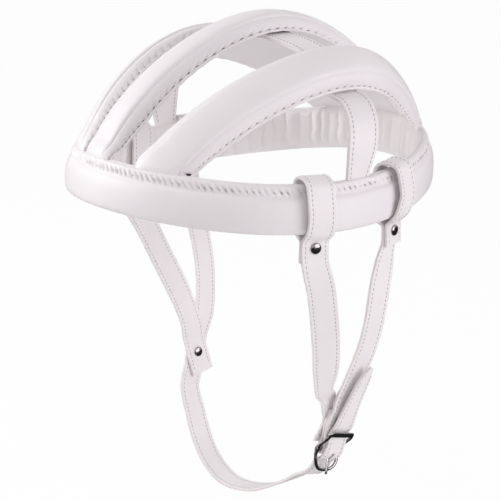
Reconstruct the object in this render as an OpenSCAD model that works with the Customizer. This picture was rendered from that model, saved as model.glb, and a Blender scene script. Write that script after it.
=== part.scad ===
// White leather strip cycling helmet: a padded head band, three padded strips over the crown,
// a cross strap under them, and a stitched chin harness that hangs on the band in four loops.
// +Z is up, -Y is the brow, +X is the wearer's left. The origin is the centre of the head opening.

/* [Head band] */
// Half length of the band, brow to nape, at its outer face
band_half_length = 113; // [105:1:122]
// Half width of the band, side to side, at its outer face
band_half_width = 100.5; // [92:0.5:108]
// Height of the padded band
band_height = 26; // [22:1:32]
// Thickness of the padded band from outer face to lining
band_thickness = 12; // [10.5:0.5:15]
// How far the band leans in from its bottom edge to its crease
band_lean = 3; // [2:0.2:3.6]
// How much less the band leans at the nape
band_rear_flare = 2.4; // [0:0.2:3]
// Height of the sloping stitched ledge above the crease
band_ledge = 6.6; // [4:0.2:9]
// Rise of the brow and nape, and fall of the sides, from the level of the band
band_dip = 4.8; // [0:0.2:7]
// Extra width of the brow over the nape, as a share of the half width
band_egg = 0.07; // [0:0.01:0.12]
// Thickness of the leather of the band's cover
band_leather = 1.2; // [0.8:0.1:1.8]
// Depth of the folds of the gathered lining
lining_fold = 1.0; // [0:0.1:1.6]
// Depth of the pocket that the ends of the strips are sewn into
pocket_depth = 9; // [7:0.5:11]

/* [Crown strips] */
// Width of a strip over its lining
strip_width = 30; // [26:0.5:34]
// Width of the crowned panel between the two creases
panel_width = 18; // [15:0.5:21]
// Thickness of a padded strip
strip_thickness = 10.5; // [8:0.5:13]
// Thickness of a strip's lining
strip_lining = 1.5; // [1:0.1:2]
// Thickness of a strip's leather cover
strip_leather = 1.3; // [0.9:0.1:1.8]
// Height of the centre strip's crown above the level of the band's bottom
crown_height = 102; // [90:1:115]
// How far the highest point of the strips lies behind the middle
crown_back = 9; // [0:1:16]
// Height of the side strips' crown above the level of the band's bottom
side_crown_height = 83.5; // [74:0.5:90]
// Distance of the side strips' crown from the middle plane
side_crown_out = 66; // [58:1:70]
// Angle from the middle of the brow to the foot of the centre strip, towards the wearer's right
centre_front_angle = 5; // [0:1:7]
// Distance of the centre strip's crown from the middle plane, towards the wearer's right
centre_shift = 2.5; // [0:0.5:4]
// Angle round the band from the brow to the foot of a side strip
side_front_angle = 23; // [22:0.5:28]
// Angle round the band from the nape to the foot of a side strip
side_rear_angle = 21; // [20:0.5:25]

/* [Cross strap] */
// Width of the cross strap
cross_width = 19; // [15:0.5:22]
// Thickness of one of the cross strap's two plies
cross_ply = 1.1; // [0.8:0.1:1.5]
// How far the cross strap bulges out between the band and the side strips
cross_bulge = 3.5; // [2:0.5:5]

/* [Harness] */
// Width of the front straps
front_strap_width = 16.5; // [14:0.5:18]
// Width of the rear straps and the chin strap
rear_strap_width = 15; // [13:0.5:16]
// Thickness of a harness strap
strap_thickness = 1.8; // [1.4:0.1:2.2]
// Half of the gap between two plies of a strap that are riveted together
ply_gap = 0.1; // [0.05:0.05:0.2]
// Gap between two straps that turn on each other
turning_gap = 0.3; // [0.2:0.1:0.4]
// Slack of a strap loop outside the band
loop_slack_out = 2.5; // [1.8:0.1:3.5]
// Slack of a strap loop over the top of the band
loop_slack_top = 2.6; // [2.2:0.1:3.4]
// Slack of a strap loop inside the band
loop_slack_in = 2.4; // [1.8:0.1:3]
// Depth of the loop rivets below the bottom of the band
loop_drop = 8; // [7.6:0.2:9]
// Length of a loop's tail below its rivet
loop_tail = 8.5; // [7:0.5:14]
// Depth of the chin strap below the level of the band
chin_drop = 205; // [198:1:215]
// Depth of the buckle's bar below the level of the band
buckle_drop = 143; // [138:1:148]
// Depth of the right joint below the level of the band
right_joint_drop = 132; // [127:1:138]

/* [Rivets] */
// Diameter of a rivet cap
rivet_cap = 6.4; // [5:0.2:6.8]
// Height of a rivet cap
rivet_cap_height = 1.3; // [0.9:0.1:1.8]
// Diameter of a rivet's shank
rivet_shank = 2.6; // [2:0.1:3.2]
// Running clearance of a strap on a rivet's shank
rivet_clearance = 0.05; // [0.02:0.01:0.09]
// Gap between a rivet and the leather that it holds
rivet_gap = 0.15; // [0.05:0.05:0.2]

/* [Buckle] */
// Distance from the centre bar to each end of the buckle frame
buckle_reach = 12; // [11:0.5:14]
// Play of the strap between the side rods of the buckle
buckle_play = 0.8; // [0.6:0.1:1.2]
// Diameter of the side rods and the rounded end
buckle_rod = 2.2; // [1.8:0.1:2.6]
// Width of the flat straight end along the strap
buckle_end_width = 3; // [2.4:0.2:3.6]
// Height of the frame's ends above the centre bar
buckle_arch = 4.2; // [3.9:0.1:4.8]
// Diameter of the centre bar
bar_diameter = 2.2; // [1.8:0.1:2.4]
// Diameter of the tongue's wire
tongue_wire = 1.7; // [1.4:0.1:2]
// Running clearance of the tongue's eye on the bar
tongue_clearance = 0.06; // [0.03:0.01:0.1]
// Play of the tongue in the slots of the straps, on each side
slot_play = 0.35; // [0.2:0.05:0.5]
// Diameter of the adjusting holes in the chin strap
strap_hole = 2.6; // [2:0.2:3.2]
// Extra height of the side rods where the bar goes through them
boss_height = 0.8; // [0.6:0.1:1.2]
// Radius of the corners at the buckle's straight end
corner = 2; // [1.5:0.1:3]
// Roundness of the buckle's other end, where 1 is a half circle
squareness = 0.8; // [0.7:0.05:1]

/* [Hidden] */

LEATHER = "whitesmoke";
LINING = "linen";
PADDING = "wheat";
CHROME = "dimgray";
STEEL = "silver";

// Vector helpers
function unit(v) = v / norm(v);
function mix(a, b, f) = a * (1 - f) + b * f;
function smooth(x) = let (c = min(max(x, 0), 1)) c * c * (3 - 2 * c);
function level(azimuth) = [cos(azimuth), sin(azimuth), 0];
function bezier(p, s) = pow(1 - s, 3) * p[0] + 3 * pow(1 - s, 2) * s * p[1]
    + 3 * (1 - s) * s * s * p[2] + pow(s, 3) * p[3];

// Smooth curve through a list of values, x from 0 to 1
function through(p, x) = let (
    last = len(p) - 1, i = min(floor(x * last), last - 1), f = x * last - i,
    a = p[max(i - 1, 0)], b = p[i], c = p[i + 1], d = p[min(i + 2, last)])
    0.5 * (2 * b + (c - a) * f + (2 * a - 5 * b + 4 * c - d) * f * f
    + (3 * b - a - 3 * c + d) * f * f * f);

// Closed skin between an outer and an inner sheet of points, as rows of equal length
function quad(a, b, c, d) = [[a, b, c], [a, c, d]];
function back_quad(a, b, c, d) = [[a, c, b], [a, d, c]];
module sheet_solid(outer, inner, loop = false) {
    rows = len(outer);
    across = len(outer[0]);
    base = rows * across;
    function at(i, j) = (i % rows) * across + j;
    points = [for (row = outer) each row, for (row = inner) each row];
    faces = [
        for (i = [0 : loop ? rows - 1 : rows - 2]) each concat(
            [for (j = [0 : across - 2])
                each quad(at(i, j), at(i + 1, j), at(i + 1, j + 1), at(i, j + 1))],
            [for (j = [0 : across - 2])
                each back_quad(base + at(i, j), base + at(i + 1, j),
                    base + at(i + 1, j + 1), base + at(i, j + 1))],
            back_quad(at(i, 0), at(i + 1, 0), base + at(i + 1, 0), base + at(i, 0)),
            quad(at(i, across - 1), at(i + 1, across - 1),
                base + at(i + 1, across - 1), base + at(i, across - 1))),
        if (!loop) for (j = [0 : across - 2]) each concat(
            quad(at(0, j), at(0, j + 1), base + at(0, j + 1), base + at(0, j)),
            back_quad(at(rows - 1, j), at(rows - 1, j + 1),
                base + at(rows - 1, j + 1), base + at(rows - 1, j)))];
    polyhedron(points, faces, convexity = 8);
}

// Head band: an egg-shaped ring. A place on it is an angle from the brow, an inset from the
// outer face and a height.
band_steps = 48;
function flared(angle, inset, height) =
    inset - band_rear_flare * smooth(-cos(angle)) * height / band_height;
function band_place(angle, inset, height) = let (
    t = flared(angle, inset, height),
    y = (t - band_half_length) * cos(angle)) [
    (band_half_width - t) * sin(angle) * (1 - band_egg * y / band_half_length),
    y,
    height + band_dip * cos(2 * angle)];
function band_rows(profile, steps = band_steps) =
    [for (i = [0 : steps - 1]) [for (p = profile) band_place(-360 * i / steps, p[0], p[1])]];

// Profiles of the band as [inset, height], from the bottom up
crease_height = band_height - band_ledge;
lining_face = band_thickness - 2;
cover_outside = [
    [band_thickness - 3.6, 0], [3.2, 0], [1.1, 0.9], [0, 3.4], [0.2, band_height * 0.38],
    [band_lean * 0.75, crease_height - 2], [band_lean + 0.9, crease_height + 0.5],
    [band_lean + 1.9, band_height - 1.8], [band_lean + 2.8, band_height]];
cover_inside = [
    [band_thickness - 3.6, band_leather], [3.5, band_leather], [2, band_leather + 0.7],
    [band_leather, 3.8], [band_leather + 0.2, band_height * 0.38],
    [band_lean * 0.75 + band_leather, crease_height - 2.3],
    [band_lean + 0.9 + band_leather * 0.9, crease_height],
    [band_lean + 1.9 + band_leather, band_height - 2.2],
    [band_lean + 2.8 + band_leather * 0.8, band_height - 0.4]];
pocket_outside = band_lean + 2.8 + band_leather;
pocket_inside = lining_face - 0.1;
pocket_floor = band_height - pocket_depth;
padding_outside = [for (i = [1 : 8]) cover_inside[i]];
padding_inside = [
    [band_thickness - 3.9, band_leather], [band_thickness - 3.4, 2.6], [band_thickness - 2.7, 5.5],
    [lining_face - 0.1, band_height * 0.4], [pocket_inside, pocket_floor - 0.6],
    [pocket_outside + 0.1, pocket_floor], [pocket_outside + 0.1, band_height - 3],
    [band_lean + 2.8 + band_leather * 0.9, band_height - 0.6]];
lining_outside = [
    [band_thickness - 3.5, 0.2], [band_thickness - 3.2, 2.6], [band_thickness - 2.5, 5.5],
    [lining_face, band_height * 0.4], [lining_face, band_height - 0.6]];
lining_inside = [
    [band_thickness - 2.2, 0], [band_thickness - 1.2, 2.6], [band_thickness - 0.4, 5.5],
    [band_thickness, band_height * 0.5], [band_thickness - 0.4, band_height]];

module band_cover()
    color(LEATHER) sheet_solid(band_rows(cover_outside), band_rows(cover_inside), loop = true);

module band_padding()
    color(PADDING) sheet_solid(band_rows(padding_outside), band_rows(padding_inside), loop = true);

// The lining is gathered: every other row between two rows of the band stands proud as a fold
fold_steps = 2 * band_steps;
module band_lining() {
    function fold(i, p, j) = i % 2 == 0 || j == 0 || j == 4 ? p : [p[0] + lining_fold, p[1]];
    function chord(i, p) = i % 2 == 0
        ? band_place(-360 * i / fold_steps, p[0], p[1])
        : (band_place(-360 * (i - 1) / fold_steps, p[0], p[1])
            + band_place(-360 * (i + 1) / fold_steps, p[0], p[1])) / 2;
    color(LINING) sheet_solid(
        [for (i = [0 : fold_steps - 1]) [for (p = lining_outside) chord(i, p)]],
        [for (i = [0 : fold_steps - 1])
            [for (j = [0 : 4]) chord(i, fold(i, lining_inside[j], j))]],
        loop = true);
}

// Crown strips. A strip follows its crown line from the pocket at the brow to the pocket at the
// nape. Its two ends lie flat between the cover and the lining of the band.
strip_steps = 22;
tab_thickness = 2.4;
tab_inset = (pocket_outside + pocket_inside - tab_thickness) / 2 + 0.1;
tab_foot = pocket_floor + 1;
rear_reach = 0.5;
strip_layers_full = [0, -strip_leather, strip_lining - strip_thickness, -strip_thickness];
strip_layers_tab = [0, -0.8, -1.6, -tab_thickness];

// Half of a strip's crown line, from its foot on the band to the crown
function foot(angle) = band_place(angle, tab_inset, tab_foot);
function strip_line(front, rear, crown, s) = let (
    out = s < 0.5 ? front : rear,
    p0 = foot(out),
    rise = 0.42 * (crown[2] - p0[2]),
    lean = [p0[0] * 0.12, -p0[1] * 0.04, rise],
    reach = (s < 0.5 ? 0.45 : rear_reach) * abs(crown[1] - p0[1]),
    p2 = crown + [0, sign(p0[1] - crown[1]) * reach, 0])
    bezier([p0, p0 + lean, p2, crown], 1 - abs(2 * s - 1));

// Point of a strip: s along it, w across it, h out of its crown line, and how far it is a tab
function strip_place(front, rear, crown, s, w_full, h_full, w_tab, h_tab) = let (
    p = strip_line(front, rear, crown, s),
    q = strip_line(front, rear, crown, min(s + 0.01, 1)),
    o = strip_line(front, rear, crown, max(s - 0.01, 0)),
    along = unit(q - o),
    across = unit(cross(along, p - [0, 0, 5])),
    out = cross(across, along),
    angle = s < 0.5 ? front : rear,
    side = s < 0.5 ? 1 : -1,
    arc = 180 / PI / band_half_width,
    height = tab_foot + (p[2] - foot(angle)[2]),
    flat = 1 - smooth((height - band_height - 1) / 14),
    w = mix(w_full, w_tab, flat),
    h = mix(h_full, h_tab, flat),
    tab = band_place(angle + side * w * arc, tab_inset - h, height),
    tucked = 1 - smooth((height - band_height) / 10))
    mix(p + across * w + out * h, tab, tucked);

crease = panel_width / 2;
bevel_foot = strip_width / 2 - 2;
strip_across = [-bevel_foot, -crease - 1.6, -crease, -crease * 0.55, 0,
    crease * 0.55, crease, crease + 1.6, bevel_foot];
tab_across = [for (w = strip_across) w * 0.95];
strip_crown = [0, -4.2, -1.6, -0.4, 0, -0.4, -1.6, -4.2, 0];
function strip_s(i) = let (x = i / strip_steps) mix(x, 0.5 - 0.5 * cos(180 * x), 0.55);

// Sheet of a strip: layer 0 is the crown, 1 the inside of the leather, 2 the bottom of the padding,
// which narrows a little and lies just clear of the lining between its edges
function strip_sheet(front, rear, crown, layer) = [for (i = [0 : strip_steps]) [
    for (j = [0 : 8]) let (
        edge = j == 0 || j == 8,
        inner = layer == 0 ? 0 : strip_leather,
        lift = layer == 2 ? 0.3 : 0,
        w = strip_across[j] - sign(strip_across[j]) * (edge ? inner + lift : 0.9 * inner),
        h = layer == 2 || edge ? strip_layers_full[2] + lift : strip_crown[j] - inner)
        strip_place(front, rear, crown, strip_s(i), w, h, tab_across[j],
            strip_layers_tab[layer] + lift)]];

function lining_sheet(front, rear, crown, layer) = [for (i = [0 : strip_steps]) [
    for (w = [-strip_width / 2, 0, strip_width / 2])
        strip_place(front, rear, crown, strip_s(i), w, strip_layers_full[layer],
            w * 0.95, strip_layers_tab[layer])]];

centre = [-centre_front_angle, 180, [-centre_shift, crown_back, crown_height]];
left = [side_front_angle, 180 - side_rear_angle, [side_crown_out, crown_back, side_crown_height]];
right = [-left[0], -left[1], [-side_crown_out, crown_back, side_crown_height]];

module strip_cover(line)
    color(LEATHER) sheet_solid(strip_sheet(line[0], line[1], line[2], 0),
        strip_sheet(line[0], line[1], line[2], 1));

module strip_padding(line)
    color(PADDING) sheet_solid(strip_sheet(line[0], line[1], line[2], 1),
        strip_sheet(line[0], line[1], line[2], 2));

module strip_lining_leather(line)
    color(LINING) sheet_solid(lining_sheet(line[0], line[1], line[2], 2),
        lining_sheet(line[0], line[1], line[2], 3));

module centre_strip_cover() strip_cover(centre);
module centre_strip_padding() strip_padding(centre);
module centre_strip_lining() strip_lining_leather(centre);
module left_strip_cover() strip_cover(left);
module left_strip_padding() strip_padding(left);
module left_strip_lining() strip_lining_leather(left);
module right_strip_cover() strip_cover(right);
module right_strip_padding() strip_padding(right);
module right_strip_lining() strip_lining_leather(right);

// Underside of a strip at its crown, w across it and gap below it
function under(line, w, gap) = strip_place(line[0], line[1], line[2], 0.5,
    w, -strip_thickness - gap, w, 0);

// Ribbon of leather along a list of [point, direction across, share of the full width]
function part_of(path, k) = [for (q = path) q[k]];
function ribbon_row(path, width, low, high, x) = let (
    places = part_of(path, 0),
    p = through(places, x),
    along = unit(through(places, min(x + 0.002, 1)) - through(places, max(x - 0.002, 0))),
    wanted = through(part_of(path, 1), x),
    across = unit(wanted - (wanted * along) * along) * width / 2 * through(part_of(path, 2), x),
    out = unit(cross(across, along)))
    [[p - across + out * high, p + across + out * high],
        [p - across + out * low, p + across + out * low]];
module ribbon(path, width, low, high, steps = 2) {
    count = steps * (len(path) - 1);
    rows = [for (i = [0 : count]) ribbon_row(path, width, low, high, i / count)];
    sheet_solid(part_of(rows, 0), part_of(rows, 1));
}

// Cross strap: two plies sewn together, from pocket to pocket under the three strips
cross_inset = (pocket_outside + pocket_inside) / 2 + 0.3;
cross_foot = band_half_width - cross_inset;
cross_gap = cross_ply + 1.6;
function mirrored(p) = [-p[0], p[1], p[2]];
cross_side = [
    band_place(90, cross_inset, pocket_floor + 1),
    band_place(90, cross_inset, band_height - 4),
    band_place(90, cross_inset, band_height + 0.5),
    [cross_foot + cross_bulge * 0.8, 1, band_height + 11],
    [cross_foot + cross_bulge * 0.6, 2.5, band_height + 20],
    [cross_foot - 2.5, 5, band_height + 29],
    [cross_foot - 10.5, 7, band_height + 35.5],
    under(left, strip_width / 2 - 1, cross_gap),
    under(left, 0, cross_gap),
    under(left, -strip_width / 2 - 2, cross_gap + 0.5)];
cross_places = concat(cross_side,
    [for (w = [1, 0, -1]) under(centre, w * (strip_width / 2 + 1), cross_gap)],
    [for (i = [len(cross_side) - 1 : -1 : 0]) mirrored(cross_side[i])]);
cross_taper = 0.78;
cross_path = [for (i = [0 : len(cross_places) - 1])
    [cross_places[i], [0, 1, 0], i < 3 || i > len(cross_places) - 4 ? cross_taper : 1]];
module cross_strap_face() color(LEATHER) ribbon(cross_path, cross_width, 0, cross_ply);
module cross_strap_backing() color(LINING) ribbon(cross_path, cross_width, -cross_ply, 0);

// Loops of the harness round the band
half_strap = strap_thickness / 2;
rivet_inset = 4.5;
outer_ply = rivet_inset - half_strap - ply_gap;
inner_ply = rivet_inset + half_strap + ply_gap;
loop_out = -loop_slack_out - half_strap;
loop_in = band_thickness + lining_fold + loop_slack_in + half_strap;
loop_top = band_height + loop_slack_top + half_strap;
function tangent(angle) = let (d = band_place(angle + 1, 0, 0) - band_place(angle - 1, 0, 0))
    unit(d) * (angle > 0 ? 1 : -1);
function outward(angle) = unit(cross(tangent(angle), [0, 0, 1])) * (angle > 0 ? 1 : -1);

// The two plies of a loop lie flat at its rivet: c along the band, n outwards, u up
function upward(angle) = let (u = cross(tangent(angle), outward(angle))) u * sign(u[2]);
function at_rivet(low, c, n, u) = band_place(low, rivet_inset, -loop_drop)
    + tangent(low) * c + outward(low) * n + upward(low) * u;

// A place on a loop is [share of the way to the top angle, inset, height]. The outer ply climbs
// from the rivet to the outside of the band, and the inner ply comes down inside it.
function outer_at(share, f, height) = [share, mix(outer_ply, loop_out, f), height];
function inner_at(share, f, height) = [share, mix(inner_ply, loop_in, f), height];
flat_top = -2.6;
cap_top = rivet_cap / 2 + 0.1 - loop_drop;
back_top = cap_top - 0.8;
outer_climb = [
    outer_at(0, 0, -loop_drop), outer_at(0, 0, cap_top), outer_at(0, 0.03, cap_top + 0.9),
    outer_at(0, 0.115, cap_top + 1.7), outer_at(0, 0.37, cap_top + 3.2),
    outer_at(0.08, 0.74, 1.4), outer_at(0.3, 0.95, 5.6),
    [0.7, loop_out, band_height * 0.46], [0.95, loop_out + band_lean * 0.6, crease_height],
    [1, 0.9, loop_top - 2.4], [1, 5.5, loop_top]];
inner_drop = [
    [1, 12, loop_top - 0.1], [1, loop_in - 0.3, loop_top - 5], [0.7, loop_in, band_height * 0.46],
    inner_at(0.3, 0.97, 5.5), inner_at(0.06, 0.81, 0.5), inner_at(0, 0.57, back_top + 4.1),
    inner_at(0, 0.32, back_top + 3), inner_at(0, 0.118, back_top + 2),
    inner_at(0, 0.027, back_top + 1.1), inner_at(0, 0, back_top), inner_at(0, 0, -loop_drop)];
function on_loop(p, low, top) = p[2] < flat_top
    ? [at_rivet(low, 0, rivet_inset - p[1], p[2] + loop_drop), tangent(low), 1]
    : let (angle = mix(low, top, p[0]), along = tangent(angle), q = band_place(angle, p[1], p[2]),
        slip = (q - band_place(angle, rivet_inset, -loop_drop)) * along)
        [q - slip * along, along, 1];
function loop_path(low, top) = [for (p = concat(outer_climb, inner_drop)) on_loop(p, low, top)];
function reversed(list) = [for (i = [len(list) - 1 : -1 : 0]) list[i]];
function outer_tail(low) =
    [for (d = [loop_tail, 3]) on_loop(outer_at(0, 0, -loop_drop - d), low, low)];
function inner_tail(low) =
    [for (d = [loop_tail, 3]) on_loop(inner_at(0, 0, -loop_drop - d), low, low)];
function hung(places, across) = [for (p = places) [p, across, 1]];

// A free stretch of a strap, as [share of the way down, swing to the left, swing to the rear],
// where the swings are shares of the straight distance
function hanging(from, to, list) = [for (q = list)
    mix(from, to, q[0]) + [q[1], q[2], 0] * norm(to - from)];

// Frames of the two joints: origin, along the strap, across it and out of it
buckle_at = [0.7164 * band_half_width, -0.0177 * band_half_length, -buckle_drop];
buckle_up = unit([0.3, 0.3, 0.9]);
buckle_out = let (n = [0.995, 0.105, 0]) unit(n - (n * buckle_up) * buckle_up);
buckle_across = cross(buckle_up, buckle_out);
function in_buckle(a, c, n) = buckle_at + buckle_up * a + buckle_across * c + buckle_out * n;
right_at = [-0.8557 * band_half_width, 0.1504 * band_half_length, -right_joint_drop];
right_up = unit([-0.14, 0.29, 0.95]);
right_out = let (n = [-1, 0, 0]) unit(n - (n * right_up) * right_up);
right_across = cross(right_up, right_out);
function in_right(a, c, n) = right_at + right_up * a + right_across * c + right_out * n;

// Layers of leather at the buckle, counted outwards from the axis of the centre bar
bar_radius = bar_diameter / 2;
fold_radius = bar_radius + 0.12 + half_strap;
chin_over_bar = fold_radius + strap_thickness + 0.3;
ply_1 = -half_strap;
ply_2 = ply_1 - strap_thickness - 2 * ply_gap;
ply_3 = ply_2 - strap_thickness - turning_gap;
joint_a = 21;
joint_c = -4;

// Left rear strap: loop, then down to the buckle, round its bar and back up to the joint rivet
left_rear_low = 104;
left_rear_top = 107.5;
left_rear_path = concat(
    outer_tail(left_rear_low), loop_path(left_rear_low, left_rear_top),
    hung([at_rivet(left_rear_low, -0.4, -1.15, -6), at_rivet(left_rear_low, -1.9, -1.9, -12)],
         tangent(left_rear_low)),
    hung(hanging(at_rivet(left_rear_low, 0, 0, 0), in_buckle(joint_a, joint_c, ply_1),
        [[0.265, 0.034, -0.007], [0.463, 0.042, 0.015], [0.616, 0.038, 0.023],
        [0.769, 0.03, 0.005]]), [0, 1, 0]),
    hung([in_buckle(33, -6, -1.8), in_buckle(27, -4.8, ply_1), in_buckle(joint_a, joint_c, ply_1),
        in_buckle(16, -3, ply_1), in_buckle(12, -1.2, ply_1), in_buckle(9, -0.4, ply_1 + 0.05),
        in_buckle(6.5, 0, -0.2), in_buckle(4, 0, 1), in_buckle(2, 0, fold_radius - 0.25),
        in_buckle(0, 0, fold_radius),
        in_buckle(-fold_radius * 0.71, 0, fold_radius * 0.71), in_buckle(-fold_radius, 0, 0),
        in_buckle(-fold_radius * 0.71, 0, -fold_radius * 0.71), in_buckle(0, 0, -fold_radius),
        in_buckle(3, 0, -fold_radius - 0.2), in_buckle(6, 0, ply_2 + 0.15),
        in_buckle(9, -0.2, ply_2), in_buckle(12, -1.2, ply_2),
        in_buckle(16, -3, ply_2), in_buckle(joint_a, joint_c, ply_2), in_buckle(25.5, -4.6, ply_2)],
        buckle_across));

// Chin strap: loop on the right side, down past the right joint, under the chin, through the
// buckle and up to its tapered tip
right_rear_low = -99.5;
function under_chin(across, back, up) = [mix(right_at[0], buckle_at[0], across),
    back * band_half_length, mix(-chin_drop, -right_joint_drop, up)];
chin_path = concat(
    outer_tail(right_rear_low), loop_path(right_rear_low, right_rear_low),
    hung([at_rivet(right_rear_low, 0.3, -1.1, -6), at_rivet(right_rear_low, 1.5, -1.3, -12)],
         tangent(right_rear_low)),
    hung(hanging(at_rivet(right_rear_low, 0, 0, 0), right_at,
        [[0.242, -0.019, 0.053], [0.425, -0.043, 0.104], [0.609, -0.034, 0.113],
        [0.792, -0.016, 0.082]]), [0, 1, 0]),
    hung([in_right(12, 0, 0), in_right(0, 0, 0), in_right(-12, 0, 0), in_right(-24, 0, 0.3)],
        -right_across),
    hung([under_chin(0.057, 0.088, 0.479), under_chin(0.108, 0.088, 0.247),
        under_chin(0.184, 0.088, 0.082), under_chin(0.291, 0.088, 0), under_chin(0.424, 0.08, 0.041),
        under_chin(0.544, 0.062, 0.137), under_chin(0.671, 0.035, 0.288),
        under_chin(0.778, 0, 0.425), under_chin(0.861, -0.035, 0.541)], [0, 1, 0]),
    hung([in_buckle(-21, 2.5, -5.5), in_buckle(-16, 0.6, -1.6), in_buckle(-buckle_reach, 0, 0),
        in_buckle(-8, 0, 0.5), in_buckle(-3.5, 0, 3.3), in_buckle(0, 0, chin_over_bar),
        in_buckle(6, 0, 3.1), in_buckle(buckle_reach, 0, 1.2), in_buckle(17, 0, 2.8), in_buckle(23, 0, 3.9),
        in_buckle(33, 0, 3.8), in_buckle(42, 0, 3.4)], buckle_across),
    [[in_buckle(50, -0.5, 3), buckle_across, 0.72], [in_buckle(55, -1, 2.7), buckle_across, 0.2]]);

// Front straps: the loop's main ply is the outer one, and the tail lies inside it
left_front_low = 73;
function left_front_free(list) =
    hanging(at_rivet(left_front_low, 0, 0, 0), in_buckle(joint_a, -5, ply_3), list);
left_front_path = concat(
    inner_tail(left_front_low), reversed(loop_path(left_front_low, left_front_low)),
    hung([at_rivet(left_front_low, 0.25, 1.1, -6), at_rivet(left_front_low, 1.2, 1.6, -12)],
         tangent(left_front_low)),
    hung(left_front_free([[0.225, 0.054, -0.029], [0.389, 0.064, -0.038], [0.553, 0.066, -0.048],
        [0.699, 0.06, -0.062]]), level(72)),
    hung(left_front_free([[0.825, 0.031, -0.065]]), level(84)),
    hung([in_buckle(32, -17, ply_3 - 0.9), in_buckle(26, -10, ply_3 - 0.2),
        in_buckle(joint_a, -5, ply_3), in_buckle(15, -3.6, ply_3), in_buckle(9, -3.6, ply_3),
        in_buckle(2, -4, ply_3)], buckle_across));

right_front_low = -76;
right_ply = -strap_thickness - turning_gap;
right_front_path = concat(
    inner_tail(right_front_low), reversed(loop_path(right_front_low, right_front_low)),
    hung([at_rivet(right_front_low, 0.5, 1.1, -6), at_rivet(right_front_low, 2.6, 1.5, -12)],
         tangent(right_front_low)),
    hung(hanging(at_rivet(right_front_low, 0, 0, 0), in_right(0, 0, right_ply),
        [[0.245, -0.047, 0.021], [0.436, -0.039, 0.034], [0.644, -0.029, 0.049]]), [0, 1, 0]),
    hung([in_right(20, 10.5, -3.4), in_right(9, 4.6, right_ply),
        in_right(0, 0, right_ply), in_right(-13, -7, right_ply)],
        -right_across));

// Places one thing along the axes of a frame
module placed(at, x, z) {
    y = cross(z, x);
    multmatrix([[x[0], y[0], z[0], at[0]], [x[1], y[1], z[1], at[1]], [x[2], y[2], z[2], at[2]],
        [0, 0, 0, 1]]) children();
}
module at_loop(low) placed(band_place(low, rivet_inset, -loop_drop), [0, 0, 1], outward(low))
    children();
module at_left_joint(n) placed(in_buckle(joint_a, joint_c, n), buckle_up, buckle_out) children();
module at_right_joint(n) placed(in_right(0, 0, n), right_up, right_out) children();
module in_buckle_frame() placed(buckle_at, buckle_up, buckle_across) children();

// Domed cap rivet through a stack of leather centred on the origin
rivet_hole = rivet_shank + 2 * rivet_clearance;
module rivet(stack) {
    cap_radius = rivet_cap / 2;
    dome_radius = (cap_radius * cap_radius + rivet_cap_height * rivet_cap_height)
        / (2 * rivet_cap_height);
    seat = stack / 2 + rivet_gap;
    color(STEEL) union() {
        translate([0, 0, -seat - 0.3]) cylinder(h = 2 * seat + 0.6, d = rivet_shank, $fn = 32);
        intersection() {
            translate([0, 0, seat + rivet_cap_height - dome_radius]) sphere(dome_radius, $fn = 48);
            translate([0, 0, seat]) cylinder(h = rivet_cap_height + 1, d = rivet_cap, $fn = 32);
        }
        translate([0, 0, -seat - 0.7]) cylinder(h = 0.7, d = rivet_cap - 1.8, $fn = 32);
    }
}
module rivet_bore() rotate([0, 0, 20])
    cylinder(h = 5 * strap_thickness, d = rivet_hole, center = true, $fn = 32);
loop_stack = 2 * strap_thickness + 2 * ply_gap;
left_joint_top = ply_1 + half_strap;
left_joint_bottom = ply_3 - half_strap;
module left_rear_rivet() at_loop(left_rear_low) rivet(loop_stack);
module right_rear_rivet() at_loop(right_rear_low) rivet(loop_stack);
module left_front_rivet() at_loop(left_front_low) rivet(loop_stack);
module right_front_rivet() at_loop(right_front_low) rivet(loop_stack);
module left_joint_rivet() at_left_joint((left_joint_top + left_joint_bottom) / 2)
    rivet(left_joint_top - left_joint_bottom);
module right_joint_rivet() at_right_joint(right_ply / 2) mirror([0, 0, 1])
    rivet(2 * strap_thickness + turning_gap);

// Buckle. In its own frame x runs up the strap, y out of it and z across it, round the centre bar.
rod_offset = rear_strap_width / 2 + buckle_play + buckle_rod / 2;
bend_centre = rod_offset - buckle_reach;
side_places = [for (a = [buckle_reach - corner, 7, 4.5, 3, 2, 1, 0, -1, -2, bend_centre])
    [a, rod_offset]];
bend_places = [for (t = [15 : 15 : 165])
    [bend_centre - rod_offset * pow(sin(t), squareness),
        rod_offset * sign(cos(t)) * pow(abs(cos(t)), squareness)]];
end_places = [for (c = [corner - rod_offset, 0, rod_offset - corner]) [buckle_reach, c]];
rod_line = concat(side_places, bend_places,
    reversed([for (q = side_places) [q[0], -q[1]]]), end_places);
function boss(a) = exp(-a * a / 4);
function rod_ring(i, side) = let (
    last = len(rod_line), q = rod_line[i],
    d = rod_line[(i + 1) % last] - rod_line[(i + last - 1) % last],
    away = [d[1], -d[0]] / norm(d),
    flat = q[0] > buckle_reach - 0.1 ? 1 : 0,
    wide = mix(buckle_rod, buckle_end_width, flat) / 2,
    high = mix(buckle_rod, buckle_rod * 0.85, flat) / 2 + boss_height * boss(q[0]),
    rise = buckle_arch * pow(sin(90 * min(abs(q[0]) / buckle_reach, 1)), 2))
    [for (t = [22.5 : 45 : 157.5]) let (w = wide * cos(t), h = side * high * sin(t))
        [q[0] + away[0] * w, rise + h, q[1] + away[1] * w]];
module buckle_frame() color(CHROME) in_buckle_frame() difference() {
    sheet_solid([for (i = [0 : len(rod_line) - 1]) rod_ring(i, 1)],
        [for (i = [0 : len(rod_line) - 1]) rod_ring(i, -1)], loop = true);
    cylinder(h = 4 * rod_offset, d = bar_diameter + 0.04, center = true, $fn = 32);
}
module buckle_bar() color(CHROME) in_buckle_frame()
    cylinder(h = 2 * rod_offset + buckle_rod, d = bar_diameter, center = true, $fn = 32);

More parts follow.
